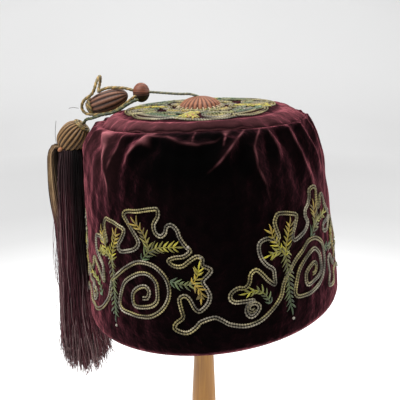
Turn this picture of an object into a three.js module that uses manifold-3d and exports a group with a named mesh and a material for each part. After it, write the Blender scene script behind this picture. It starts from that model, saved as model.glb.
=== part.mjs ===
// A gathered velvet smoking cap with a corded silk tassel, on a plain turned wooden stand.
// Millimetres, +Z up. The origin is the middle of the stand's foot, and the cap's front faces -Y.
// An azimuth is in degrees round the cap from its front, towards +X.
import * as THREE from "three";
import { mergeVertices } from "three/addons/utils/BufferGeometryUtils.js";
import loadManifold from "manifold-3d";

// Clearance between pieces that touch
const GAP = 0.3;

// How the cap sits on its stand: hem above the floor, hem off the post's axis, lean towards -X
const HEM_HEIGHT = 165;
const HEM_SHIFT = 7.8;
const LEAN_DEGREES = 4.5;

// Stand
const FOOT_RADIUS = 70;
const FOOT_HEIGHT = 14;
const FOOT_ROUND = 2;
const FOOT_SLOPE = 6;
const POST_RADIUS = 8;
const REST_RADIUS = 45;
const REST_EDGE = 9;
const REST_ROUND = 3;
const REST_CURVE = 200;
const REST_RADII = [43, 31.5, 18, 0];
const REST_BELOW_TIP = 1.3;
const STAND_SIDES = 30;

// Cap wall: height above the hem, outside radius, and how far the ring is pushed towards +X
const WALL_THICKNESS = 2.5;
const WALL_COLUMNS = 108;
const OUTSIDE_ROWS = 20;
const INSIDE_ROWS = 8;
const SECTIONS = [
  { height: 0, radius: 90.8, shift: -0.8 },
  { height: 2.5, radius: 91.6, shift: -0.8 },
  { height: 12, radius: 91.2, shift: -0.8 },
  { height: 26, radius: 89.4, shift: -0.6 },
  { height: 45, radius: 88.0, shift: -0.3 },
  { height: 65, radius: 86.5, shift: -0.3 },
  { height: 85, radius: 84.8, shift: -0.8 },
  { height: 100, radius: 82.8, shift: -1.4 },
  { height: 112, radius: 80.6, shift: -2.0 },
  { height: 120.5, radius: 77.8, shift: -2.4 },
  { height: 127, radius: 74.4, shift: -2.2 },
  { height: 131.3, radius: 70.6, shift: -1.4 },
  { height: 132.4, radius: 66.6, shift: -0.6 },
  { height: 131.8, radius: 63.4, shift: 0 },
];

// The hem hangs lower towards one side: azimuth of its lowest place, drop all round, further drop there,
// and the height at which the wall is level again
const HEM_SAG = { towards: -76, drop: 0.2, further: 3.6, level: 45 };

// The tip isn't square to the cap: it tilts down to +X and to the back, and takes the top of the wall with it
const TILT = { sideways: 1.7, backwards: 0.3, level: 80 };

// Gathers below the seam: azimuth where a ridge leaves the seam and where it dies away,
// its length down the wall, half its width and how far it stands out.
// A ridge rises out of the seam over the first share of its length and dies away over the rest,
// with a shallow valley on each side. Above the puff height it stands more and more upwards
const SEAM_HEIGHT = 132;
const DEGREE_LENGTH = 1.4;
const VALLEY = 0.6;
const FOLD_RISE = 0.25;
const PUFF_HEIGHT = 108;
const PUFF_TILT_DEGREES = 55;
const FRONT_FOLDS = [
  { top: -78, foot: -84, length: 36, width: 5.5, ridge: 2.4 },
  { top: -66, foot: -72, length: 40, width: 5.5, ridge: 3 },
  { top: -55, foot: -45, length: 48, width: 4.5, ridge: 5 },
  { top: -37, foot: -44, length: 30, width: 4.5, ridge: 3.4 },
  { top: -24, foot: -35, length: 28, width: 4.5, ridge: 4 },
  { top: 13, foot: 11, length: 16, width: 4.5, ridge: 2 },
  { top: 23, foot: 4, length: 38, width: 4.5, ridge: 4.2 },
  { top: 32, foot: 25, length: 46, width: 4.5, ridge: 3.4 },
  { top: 47, foot: 56, length: 64, width: 5.5, ridge: 4.2 },
  { top: 60, foot: 66, length: 50, width: 5.5, ridge: 3.4 },
  { top: 74, foot: 80, length: 44, width: 5.5, ridge: 3 },
];
const BACK_FOLDS = { first: 88, step: 13.5, count: 14, sway: 5, length: 34, longer: 18 };
const BACK_FOLD = { width: 5.5, ridge: 3.4 };
const SWAG = { from: -23, to: 13, sag: 6, width: 3.2, ridge: 3, rise: 3 };

// Tip of the cap and its button
const TIP_HEIGHT = 133.6;
const TIP_RADIUS = 63.5;
const TIP_DOME = 4.5;
const TIP_FLATNESS = 7;
const TIP_THICKNESS = 3;
const TIP_RADII = [0, 28, 43, 53, 59.5];
const TIP_EDGE = [
  { inset: 1, height: -1.5 },
  { inset: 0, height: -0.6 },
  { inset: 0.6, height: 0.2 },
];
const TIP_SIDES = 48;
const BUTTON_RADIUS = 14.5;
const BUTTON_HEIGHT = 7;
const BUTTON_EDGE = 1;
const BUTTON_ROWS = 6;
const BUTTON_RIBS = 24;

// Beads on the cord, each from its lower end to its upper end, above the hem
const BALL = { centre: [-44.3, 10, 146.5], radius: 6, ribs: 10 };
const OLIVE = { low: [-84.3, 18.5, 133.9], high: [-54.4, 13.5, 144.6], radius: 7.3, blunt: 2.2, ribs: 11 };
const HEAD = { low: [-104.7, 22, 102.5], high: [-88.2, 21, 121.8], radius: 10.8, blunt: 2.5, ribs: 14 };
const BEAD_ROWS = 8;
const FLUTE_DEPTH = 0.1;

// Cord routes above the hem, point by point
const CORD_SIDES = 8;
const TIP_CORD = { diameter: 1.5, steps: 7 };
const TIP_CORD_ROUTE = [
  [-10, 1.8, 146.1],
  [-16, 3, 146],
  [-22.5, 4.6, 146.1],
  [-30, 6.6, 146.4],
  [-38, 8.5, 146.7],
];
const LOOP_CORD = { diameter: 2, steps: 33 };
const LOOP_ROUTE = [
  [-50.6, 9.7, 147.9],
  [-55, 10.8, 148.9],
  [-59.4, 12, 149.2],
  [-65.2, 13.4, 149.2],
  [-69.3, 14.6, 148.6],
  [-72.5, 16.3, 147.4],
  [-74.9, 18.9, 146],
  [-76.3, 22.1, 145.3],
  [-76.7, 25.2, 146.3],
  [-76.3, 27.1, 149],
  [-75.5, 27, 152.1],
  [-74.9, 24.9, 154.8],
  [-74.7, 21.6, 156.2],
  [-75.1, 18.2, 155.9],
  [-75.8, 15.3, 154],
  [-76.7, 13.5, 151.2],
  [-77.7, 12.8, 148],
  [-79.2, 12.7, 145.2],
  [-81.3, 12.9, 143.2],
  [-83.8, 13.5, 141.6],
  [-86, 14.2, 139.4],
  [-87.3, 14.6, 136.6],
  [-87.2, 14.5, 133.7],
  [-85.7, 14.1, 131.6],
  [-83, 13.4, 130.5],
  [-77.4, 12.4, 130.2],
  [-71.9, 11.8, 130.9],
  [-67.2, 11.5, 132],
  [-62.4, 10.7, 133.9],
  [-57.5, 9.3, 137],
  [-53.4, 7.6, 140.1],
  [-49, 6, 143.4],
];
const TASSEL_CORD = { diameter: 2, steps: 14 };
const TASSEL_CORD_ROUTE = [
  [-87.6, 20.3, 122.9],
  [-86.4, 19.2, 124.9],
  [-84.2, 16.6, 126.4],
  [-81, 13, 127.4],
  [-77.2, 10, 128.9],
  [-72.5, 8.8, 130.6],
  [-67.5, 8.7, 131.5],
  [-63.1, 7.9, 132.9],
  [-58.8, 6.1, 135.2],
  [-54.3, 4.3, 138.2],
  [-49.8, 4, 140.7],
  [-46, 5, 142],
];

// Tassel silk above the hem: middle of the bundle, ring that the locks stand on, and a lock's own radius
const SKIRT_DEPTH = 22;
const LOCKS = 13;
const LOCK_SIDES = 6;
const CORE_SIDES = 12;
const LOCK_UNEVEN = 7;
const LOCK_STEP = 2.4;
const CORE_OVERLAP = 0.25;
const SKIRT = [
  { height: 100.5, middle: -104.3, spread: 0.7, lock: 1.3 },
  { height: 97.9, middle: -103.6, spread: 3.2, lock: 2.2 },
  { height: 92.5, middle: -102.2, spread: 8.5, lock: 3.4 },
  { height: 78, middle: -101.2, spread: 11.2, lock: 4 },
  { height: 20, middle: -100, spread: 11.4, lock: 4 },
  { height: -25, middle: -98, spread: 13, lock: 4.2 },
  { height: -68, middle: -95.5, spread: 16.5, lock: 3.6 },
];

const VELVET = { color: 0x3a0d16, roughness: 0.9, metalness: 0 };
const RUST_SILK = { color: 0x7a3a24, roughness: 0.7, metalness: 0 };
const GILT_CORD = { color: 0x8a7434, roughness: 0.6, metalness: 0.1 };
const TASSEL_SILK = { color: 0x4a1c1c, roughness: 0.7, metalness: 0 };
const WOOD = { color: 0xb4824a, roughness: 0.6, metalness: 0 };

const manifold = await loadManifold();
manifold.setup();

const point = ([x, y, z]) => new THREE.Vector3(x, y, z);
const ease = (value) => THREE.MathUtils.smoothstep(value, 0, 1);
const turn = (azimuth) => THREE.MathUtils.euclideanModulo(azimuth + 180, 360) - 180;

/** A named piece of the object with its own material. */
function piece(name, geometry, finish) {
  const mesh = new THREE.Mesh(geometry, new THREE.MeshStandardMaterial(finish));
  mesh.name = name;
  return mesh;
}

/** A column of a table whose rows run in order of height, read at any height between them. */
function column(rows, name, height) {
  const ordered = rows[0].height < rows[1].height ? rows : [...rows].reverse();
  const above = ordered.findIndex((row) => row.height >= height);
  if (above <= 0) return above === 0 ? ordered[0][name] : ordered.at(-1)[name];
  const [low, high] = [ordered[above - 1], ordered[above]];
  return THREE.MathUtils.mapLinear(height, low.height, high.height, low[name], high[name]);
}

/** A profile of radius and height turned about +Z, starting at the front. */
function turned(profile, sides) {
  return new THREE.LatheGeometry(profile, sides).rotateX(Math.PI / 2);
}

/** Moves every vertex of a geometry. */
function reshape(geometry, move) {
  const places = geometry.getAttribute("position");
  const place = new THREE.Vector3();
  for (let index = 0; index < places.count; index += 1) {
    move(place.fromBufferAttribute(places, index));
    places.setXYZ(index, place.x, place.y, place.z);
  }
  return geometry;
}

/** A turned body whose surface is cut by flutes from end to end. */
function fluted(profile, ribs, depth) {
  const geometry = turned(profile, ribs * 2);
  return reshape(geometry, (place) => {
    const wave = 0.5 - 0.5 * Math.cos(ribs * Math.atan2(place.x, -place.y));
    const pinch = 1 - depth * wave;
    place.set(place.x * pinch, place.y * pinch, place.z);
  });
}

/** A round cord along a route. */
function cord(route, { diameter, steps }) {
  const section = new THREE.Shape();
  section.absarc(0, 0, diameter / 2, 0, 2 * Math.PI);
  const path = new THREE.CatmullRomCurve3(route.map(point), false, "centripetal");
  const outline = new THREE.Shape(section.getPoints(CORD_SIDES).slice(0, CORD_SIDES));
  return new THREE.ExtrudeGeometry(outline, { steps, extrudePath: path, bevelEnabled: false });
}

/** A ribbed bead lying between two points of the cord. */
function bead(name, { low, high, radius, blunt, ribs }) {
  const axis = point(high).sub(point(low));
  const half = axis.length() / 2;
  const profile = Array.from({ length: BEAD_ROWS + 1 }, (_, row) => {
    const along = -Math.cos((Math.PI * row) / BEAD_ROWS);
    return new THREE.Vector2(radius * Math.sqrt(1 - Math.abs(along) ** blunt), half * along);
  });
  const mesh = piece(name, fluted(profile, ribs, FLUTE_DEPTH), RUST_SILK);
  mesh.position.copy(point(low)).addScaledVector(axis, 0.5);
  mesh.quaternion.setFromUnitVectors(new THREE.Vector3(0, 0, 1), axis.normalize());
  return mesh;
}

/** Every gather round the cap: those at the front one by one, the rest in an even run. */
function allFolds() {
  const { first, step, count, sway, length, longer } = BACK_FOLDS;
  const back = Array.from({ length: count }, (_, index) => ({
    top: first + step * index,
    foot: first + step * index + sway * (index % 2 ? 1 : -1),
    length: length + longer * (index % 3 ? 0 : 1),
    ...BACK_FOLD,
  }));
  return [...FRONT_FOLDS, ...back];
}

const FOLDS = allFolds();
const PUFF_TILT = THREE.MathUtils.degToRad(PUFF_TILT_DEGREES);
const SIDEWAYS = THREE.MathUtils.degToRad(TILT.sideways);
const BACKWARDS = THREE.MathUtils.degToRad(TILT.backwards);

/** How far the gathers and the swag at the front lift the velvet at a place on the wall. */
function foldLift(azimuth, height) {
  let lift = 0;
  for (const { top, foot, length, width, ridge } of FOLDS) {
    const along = (SEAM_HEIGHT - height) / length;
    if (along <= 0 || along >= 1) continue;
    const middle = THREE.MathUtils.lerp(top, foot, along);
    const across = ((turn(azimuth - middle) * DEGREE_LENGTH) / width) ** 2;
    const fade = ease(along / FOLD_RISE) * (1 - ease((along - FOLD_RISE) / (1 - FOLD_RISE)));
    lift += ridge * fade * (1 - VALLEY * across) * Math.exp(-across / 2);
  }
  const share = (azimuth - SWAG.from) / (SWAG.to - SWAG.from);
  if (share > 0 && share < 1) {
    const bow = Math.sin(Math.PI * share);
    const away = (height - (SEAM_HEIGHT - SWAG.sag * bow)) / SWAG.width;
    lift += SWAG.ridge * bow * Math.exp(-(away ** 2)) * ease((SEAM_HEIGHT - height) / SWAG.rise);
  }
  return lift;
}

/** How far the hem lets the wall down at a place on it. */
function hemDrop(azimuth, height) {
  const side = Math.cos(THREE.MathUtils.degToRad(azimuth - HEM_SAG.towards));
  return (HEM_SAG.drop + HEM_SAG.further * side) * (1 - ease(height / HEM_SAG.level));
}

/** How far the tilted tip raises the wall below it. */
function tiltRise(x, y, height) {
  const share = ease((height - TILT.level) / (SEAM_HEIGHT - TILT.level));
  return -share * (x * Math.tan(SIDEWAYS) + y * Math.tan(BACKWARDS));
}

/** The gathered wall: an open ring of cloth, the same thickness all over. */
function crownSide() {
  const curve = new THREE.SplineCurve(SECTIONS.map((row) => new THREE.Vector2(row.radius, row.height)));
  const outside = curve.getPoints(OUTSIDE_ROWS);
  const inside = curve.getPoints(INSIDE_ROWS).map((place, row) => {
    const along = curve.getTangent(row / INSIDE_ROWS);
    return new THREE.Vector2(place.x - along.y * WALL_THICKNESS, place.y + along.x * WALL_THICKNESS);
  });
  const profile = [...outside, ...inside.reverse(), outside[0].clone()];
  const geometry = reshape(turned(profile, WALL_COLUMNS), (place) => {
    const around = Math.atan2(place.x, -place.y);
    const azimuth = THREE.MathUtils.radToDeg(around);
    const lift = foldLift(azimuth, place.z);
    const tilt = PUFF_TILT * ease((place.z - PUFF_HEIGHT) / (SEAM_HEIGHT - PUFF_HEIGHT));
    place.x += lift * Math.cos(tilt) * Math.sin(around) + column(SECTIONS.slice(0, -1), "shift", place.z);
    place.y -= lift * Math.cos(tilt) * Math.cos(around);
    place.z += lift * Math.sin(tilt) + tiltRise(place.x, place.y, place.z) - hemDrop(azimuth, place.z);
  });
  return piece("crown_side", geometry, VELVET);
}

/** The domed tip: flat in the middle, rolled down at its edge. */
function crownTip() {
  const domed = (radius, level) =>
    new THREE.Vector2(radius, level + TIP_DOME * (1 - (radius / TIP_RADIUS) ** TIP_FLATNESS));
  const under = TIP_RADII.map((radius) => domed(radius, -TIP_THICKNESS));
  const over = TIP_RADII.map((radius) => domed(radius, 0)).reverse();
  const edge = TIP_EDGE.map(({ inset, height }) => new THREE.Vector2(TIP_RADIUS - inset, height));
  return piece("crown_tip", turned([...under, ...edge, ...over], TIP_SIDES), VELVET);
}

/** The ribbed button in the middle of the tip. */
function tipButton() {
  const rise = BUTTON_HEIGHT - BUTTON_EDGE;
  const dome = Array.from({ length: BUTTON_ROWS + 1 }, (_, row) => {
    const angle = (Math.PI / 2) * (row / BUTTON_ROWS);
    return new THREE.Vector2(BUTTON_RADIUS * Math.cos(angle), BUTTON_EDGE + rise * Math.sin(angle));
  });
  dome[BUTTON_ROWS].x = 0;
  const foot = [new THREE.Vector2(0, 0), new THREE.Vector2(BUTTON_RADIUS - BUTTON_EDGE, 0)];
  const mesh = piece("tip_button", fluted([...foot, ...dome], BUTTON_RIBS, FLUTE_DEPTH), RUST_SILK);
  mesh.position.z = TIP_DOME + GAP;
  return mesh;
}

/** The wound ball on the cord. */
function cordBall() {
  const { centre: [x, y, z], radius, ribs } = BALL;
  return bead("cord_ball", { low: [x, y, z - radius], high: [x, y, z + radius], radius, blunt: 2, ribs });
}

/** A closed tapering lock from the tassel's neck to its end, as a solid that can be joined to others. */
function lock(sides, middle, radius, lowest) {
  const rows = SKIRT.length - 1;
  const geometry = new THREE.CylinderGeometry(1, 1, 1, sides, rows).rotateX(Math.PI / 2);
  reshape(geometry, (place) => {
    const row = SKIRT[Math.round((0.5 - place.z) * rows)];
    const [x, y] = middle(row);
    const height = row === SKIRT.at(-1) ? lowest : row.height;
    place.set(x + radius(row) * place.x, y + radius(row) * place.y, height);
  });
  geometry.deleteAttribute("normal");
  geometry.deleteAttribute("uv");
  const merged = mergeVertices(geometry);
  const vertProperties = merged.getAttribute("position").array;
  const triVerts = new Uint32Array(merged.getIndex().array);
  return new manifold.Manifold(new manifold.Mesh({ numProp: 3, vertProperties, triVerts }));
}

/** The hanging silk: a ring of uneven locks fused to a core. */
function tasselSkirt() {
  const end = SKIRT.at(-1).height;
  const core = (row) => row.spread + row.lock * CORE_OVERLAP;
  let solid = lock(CORE_SIDES, (row) => [row.middle, SKIRT_DEPTH], core, end);
  for (let index = 0; index < LOCKS; index += 1) {
    const around = (2 * Math.PI * index) / LOCKS;
    const middle = (row) => [
      row.middle + row.spread * Math.cos(around),
      SKIRT_DEPTH + row.spread * Math.sin(around),
    ];
    const lowest = end - LOCK_UNEVEN * (1 + Math.sin(index * LOCK_STEP));
    solid = solid.add(lock(LOCK_SIDES, middle, (row) => row.lock, lowest));
  }
  const { vertProperties, triVerts } = solid.getMesh();
  const geometry = new THREE.BufferGeometry();
  geometry.setAttribute("position", new THREE.BufferAttribute(vertProperties, 3));
  geometry.setIndex(new THREE.BufferAttribute(triVerts, 1));
  return piece("tassel_skirt", geometry, TASSEL_SILK);
}

/** The stand: a round foot, a plain post and a domed rest that carries the tip. */
function stand() {
  const crown = HEM_HEIGHT + TIP_HEIGHT + TIP_DOME - TIP_THICKNESS - REST_BELOW_TIP;
  const drop = REST_CURVE - Math.sqrt(REST_CURVE ** 2 - REST_RADIUS ** 2);
  const underside = crown - drop - REST_EDGE;
  const foot = turned(
    [
      new THREE.Vector2(0, 0),
      new THREE.Vector2(FOOT_RADIUS - FOOT_ROUND, 0),
      new THREE.Vector2(FOOT_RADIUS, FOOT_ROUND),
      new THREE.Vector2(FOOT_RADIUS, FOOT_HEIGHT / 2),
      new THREE.Vector2(FOOT_RADIUS - FOOT_ROUND, FOOT_HEIGHT - FOOT_ROUND),
      new THREE.Vector2(FOOT_RADIUS - FOOT_SLOPE, FOOT_HEIGHT),
      new THREE.Vector2(0, FOOT_HEIGHT),
    ],
    STAND_SIDES,
  );
  const domed = (radius) =>
    new THREE.Vector2(radius, crown - REST_CURVE + Math.sqrt(REST_CURVE ** 2 - radius ** 2));
  const rest = turned(
    [
      new THREE.Vector2(0, underside),
      new THREE.Vector2(REST_RADIUS - REST_ROUND, underside),
      new THREE.Vector2(REST_RADIUS, underside + REST_ROUND),
      new THREE.Vector2(REST_RADIUS, underside + REST_EDGE - REST_ROUND),
      ...REST_RADII.map(domed),
    ],
    STAND_SIDES,
  );
  const length = underside - FOOT_HEIGHT - 2 * GAP;
  const post = new THREE.CylinderGeometry(POST_RADIUS, POST_RADIUS, length, STAND_SIDES).rotateX(Math.PI / 2);
  post.translate(0, 0, FOOT_HEIGHT + GAP + length / 2);
  const group = new THREE.Group();
  group.add(piece("stand_foot_disc", foot, WOOD));
  group.add(piece("stand_post", post, WOOD));
  group.add(piece("stand_rest", rest, WOOD));
  return group;
}

const tip = new THREE.Group();
tip.position.z = TIP_HEIGHT;
tip.rotation.set(-BACKWARDS, SIDEWAYS, 0);
tip.add(crownTip(), tipButton());

const cap = new THREE.Group();
cap.position.set(HEM_SHIFT, 0, HEM_HEIGHT);
cap.rotation.y = -THREE.MathUtils.degToRad(LEAN_DEGREES);
cap.add(crownSide(), tip);

const tassel = new THREE.Group();
tassel.position.z = HEM_HEIGHT;
tassel.add(
  piece("cord_tip", cord(TIP_CORD_ROUTE, TIP_CORD), GILT_CORD),
  cordBall(),
  bead("cord_olive", OLIVE),
  piece("cord_round", cord(LOOP_ROUTE, LOOP_CORD), GILT_CORD),
  piece("cord_tassel", cord(TASSEL_CORD_ROUTE, TASSEL_CORD), GILT_CORD),
  bead("tassel_head", HEAD),
  tasselSkirt(),
);

const smokingCap = new THREE.Group();
smokingCap.add(stand(), cap, tassel);

export default smokingCap;
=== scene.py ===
"""Looks of a gathered velvet smoking cap with a corded silk tassel, on a plain turned wooden stand.

Metres, +Z up, with the cap's front towards -Y. Tables of the cap's cloth and embroidery are in
millimetres, as a hatter would chart them. An azimuth is in degrees round the cap from its front,
towards +X, and a height on the cap is measured from its hem along its leaning axis.
"""

import logging
import math
from dataclasses import dataclass
from enum import Enum
from functools import cache
from typing import ClassVar, Iterable, Sequence

import bmesh
import bpy
import numpy as np
from mathutils import Matrix, Vector


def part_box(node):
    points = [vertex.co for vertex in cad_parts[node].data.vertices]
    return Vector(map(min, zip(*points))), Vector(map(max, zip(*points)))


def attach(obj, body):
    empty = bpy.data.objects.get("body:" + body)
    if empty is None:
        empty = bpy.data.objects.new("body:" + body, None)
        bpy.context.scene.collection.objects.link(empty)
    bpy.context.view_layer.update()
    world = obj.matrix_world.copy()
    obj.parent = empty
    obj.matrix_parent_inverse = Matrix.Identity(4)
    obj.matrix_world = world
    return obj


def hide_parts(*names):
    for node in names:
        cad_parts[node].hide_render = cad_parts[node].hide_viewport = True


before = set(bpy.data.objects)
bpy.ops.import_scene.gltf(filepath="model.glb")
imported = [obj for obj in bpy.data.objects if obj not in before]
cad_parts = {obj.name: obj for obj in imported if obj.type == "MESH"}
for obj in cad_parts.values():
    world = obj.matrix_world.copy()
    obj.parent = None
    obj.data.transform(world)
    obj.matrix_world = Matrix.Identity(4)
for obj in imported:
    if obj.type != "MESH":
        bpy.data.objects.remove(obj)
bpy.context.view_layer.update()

LOG = logging.getLogger("smoking_cap")
BODY = "root"
MM = 0.001
SEED = 20
# Steps from each point of a smooth line to the next
CURVE_STEPS = 24
# How near corners and how thin faces are merged away, in metres
NEAR = 1e-6
THIN = 1e-7

Array = np.ndarray
Colour = tuple[float, float, float]
Pair = tuple[float, float]
Point = tuple[float, float, float]
Sizes = tuple[float, ...]
Chart = tuple[Pair, ...]
Points = tuple[Point, ...]
Material = bpy.types.Material
Mesh = bpy.types.Mesh
Piece = bpy.types.Object
Shape = bmesh.types.BMesh
Node = bpy.types.Node
Nodes = bpy.types.NodeTree
Socket = bpy.types.NodeSocket


class Slot(Enum):
    """The record's material slots."""

    VELVET = "velvet"
    RUST_SILK = "rust_silk"
    GILT_CORD = "gilt_cord"
    TASSEL_SILK = "tassel_silk"
    WOOD = "wood"


class Lay(Enum):
    """Which way the plies of a cord are twisted."""

    RIGHT = 1
    LEFT = -1


def smooth(value: Array, start: float = 0.0, span: float = 1.0) -> Array:
    """Eases from 0 at a start to 1 a span further on."""
    share = np.clip((value - start) / span, 0.0, 1.0)
    return share * share * (3.0 - 2.0 * share)


def mound(value: Array, middle: float, width: float | Array) -> Array:
    """Rises to 1 at a middle and falls away within a width."""
    return np.exp(-(((value - middle) / width) ** 2))


def waves(around: Array, rows: Iterable[Point]) -> Array:
    """Adds up waves, each given by its size, its count and its start."""
    return sum(size * np.sin(around * count + start) for size, count, start in rows)


def unit(vectors: Array) -> Array:
    """Scales each row to length one."""
    return vectors / np.maximum(np.linalg.norm(vectors, axis=1, keepdims=True), 1e-12)


def steps_of(line: Array) -> Array:
    """Measures from each point of a line to the next."""
    return np.linalg.norm(np.diff(line, axis=0), axis=1)


def run_of(line: Array) -> Array:
    """Measures along a line from its start to each point."""
    return np.r_[0.0, np.cumsum(steps_of(line))]


def left_of(line: Array) -> Array:
    """Gives the way to the left at each point of a flat line."""
    along = unit(np.gradient(line, axis=0))
    return np.stack([-along[:, 1], along[:, 0]], axis=1)


def read_off(at: Array, known: Array, rows: Array) -> Array:
    """Reads a table of rows between its known places."""
    return np.stack([np.interp(at, known, column) for column in rows.T], axis=1)


def polar(flat: Array) -> tuple[Array, Array]:
    """Gives how far round from the front, in radians, and how far out places are."""
    return np.arctan2(flat[:, 0], -flat[:, 1]), np.hypot(flat[:, 0], flat[:, 1])


def from_polar(around: Array, out: Array) -> tuple[Array, Array]:
    """Gives x and y from radians round and how far out."""
    return out * np.sin(around), -out * np.cos(around)


def stood(points: Array, stance: Matrix) -> Array:
    """Leans and moves points by a stance."""
    rows = np.array(stance)
    return points @ rows[:3, :3].T + rows[:3, 3]


def rounded(points: Array, step: float) -> Array:
    """Runs a smooth line through points and spaces it evenly.

    Args:
        points: The points that the line passes, one in each row.
        step: The spacing of the line's own points.

    Returns:
        The evenly spaced points of the line.
    """
    ends = np.vstack([2 * points[0] - points[1], points, 2 * points[-1] - points[-2]])
    before, start, end, after = ends[:-3, None], ends[1:-2, None], ends[2:-1, None], ends[3:, None]
    share = np.linspace(0.0, 1.0, CURVE_STEPS, endpoint=False)[None, :, None]
    line = 0.5 * (
        2 * start
        + (end - before) * share
        + (2 * before - 5 * start + 4 * end - after) * share**2
        + (3 * start - before - 3 * end + after) * share**3
    )
    line = np.vstack([line.reshape(-1, points.shape[1]), points[-1:]])
    run = run_of(line)
    return read_off(np.linspace(0.0, run[-1], max(2, round(run[-1] / step) + 1)), run, line)


def drawn(rows: Array, step: float, offset: float = 0.0) -> Array:
    """Draws a smooth flat line through rows, moved to its left by an offset."""
    line = rounded(rows, step)
    return line + left_of(line) * offset


def spun(profile: Iterable[Sequence[float]], steps: int) -> Shape:
    """Turns a profile about +Z.

    Args:
        profile: Radius and height of each point, in metres.
        steps: Faces round the turn.

    Returns:
        The turned shape, closed where its profile starts and ends on the axis or on itself.
    """
    shape = bmesh.new()
    corners = [shape.verts.new((0.0, -radius, height)) for radius, height in profile]
    turned = corners + [shape.edges.new(pair) for pair in zip(corners, corners[1:])]
    about = {"cent": (0, 0, 0), "axis": (0, 0, 1), "angle": math.tau}
    bmesh.ops.spin(shape, geom=turned, steps=steps, use_merge=True, **about)
    bmesh.ops.remove_doubles(shape, verts=shape.verts, dist=NEAR)
    bmesh.ops.dissolve_degenerate(shape, edges=shape.edges, dist=THIN)
    bmesh.ops.recalc_face_normals(shape, faces=shape.faces)
    return shape


def places(shape: Shape) -> Array:
    """Reads where every vertex of a shape is."""
    return np.array([corner.co for corner in shape.verts])


def finished(shape: Shape, name: str, moved: Array | None = None) -> Mesh:
    """Turns a shape into a smooth-shaded mesh and frees it.

    Args:
        shape: The shape.
        name: The mesh's name, which its piece takes too.
        moved: New places for its vertices, or none to leave them.

    Returns:
        The mesh.
    """
    if moved is not None:
        for corner, place in zip(shape.verts, moved):
            corner.co = place
    mesh = bpy.data.meshes.new(name)
    shape.to_mesh(mesh)
    shape.free()
    mesh.shade_smooth()
    return mesh


def paint(mesh: Mesh, name: str, values: Array) -> None:
    """Keeps a number for each vertex, which a finish reads by name."""
    layer = mesh.attributes.new(name, "FLOAT", "POINT")
    layer.data.foreach_set("value", np.asarray(values, np.float32))


def tint(mesh: Mesh, name: str, colours: Array) -> None:
    """Keeps a colour for each vertex, which a finish reads by name."""
    rows = np.hstack([colours, np.ones((len(colours), 1))]).astype(np.float32)
    mesh.color_attributes.new(name, "FLOAT_COLOR", "POINT").data.foreach_set("color", rows.ravel())


def stand_in_scene(holder: Piece) -> None:
    """Links an object to the scene."""
    bpy.context.scene.collection.objects.link(holder)


def add_piece(mesh: Mesh, material: Material, slot: Slot, *stands_for: str) -> Piece:
    """Puts a finished mesh on the object, under the mesh's name.

    Args:
        mesh: The mesh, with its place in it.
        material: Its finish.
        slot: Not used.
        *stands_for: The plain solids that it is shown in place of.

    Returns:
        The piece.
    """
    piece = bpy.data.objects.new(mesh.name, mesh)
    stand_in_scene(piece)
    mesh.materials.append(material)
    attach(piece, BODY)
    if stands_for:
        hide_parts(*stands_for)
    LOG.info("%s: %d faces", piece.name, len(mesh.polygons))
    return piece


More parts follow.
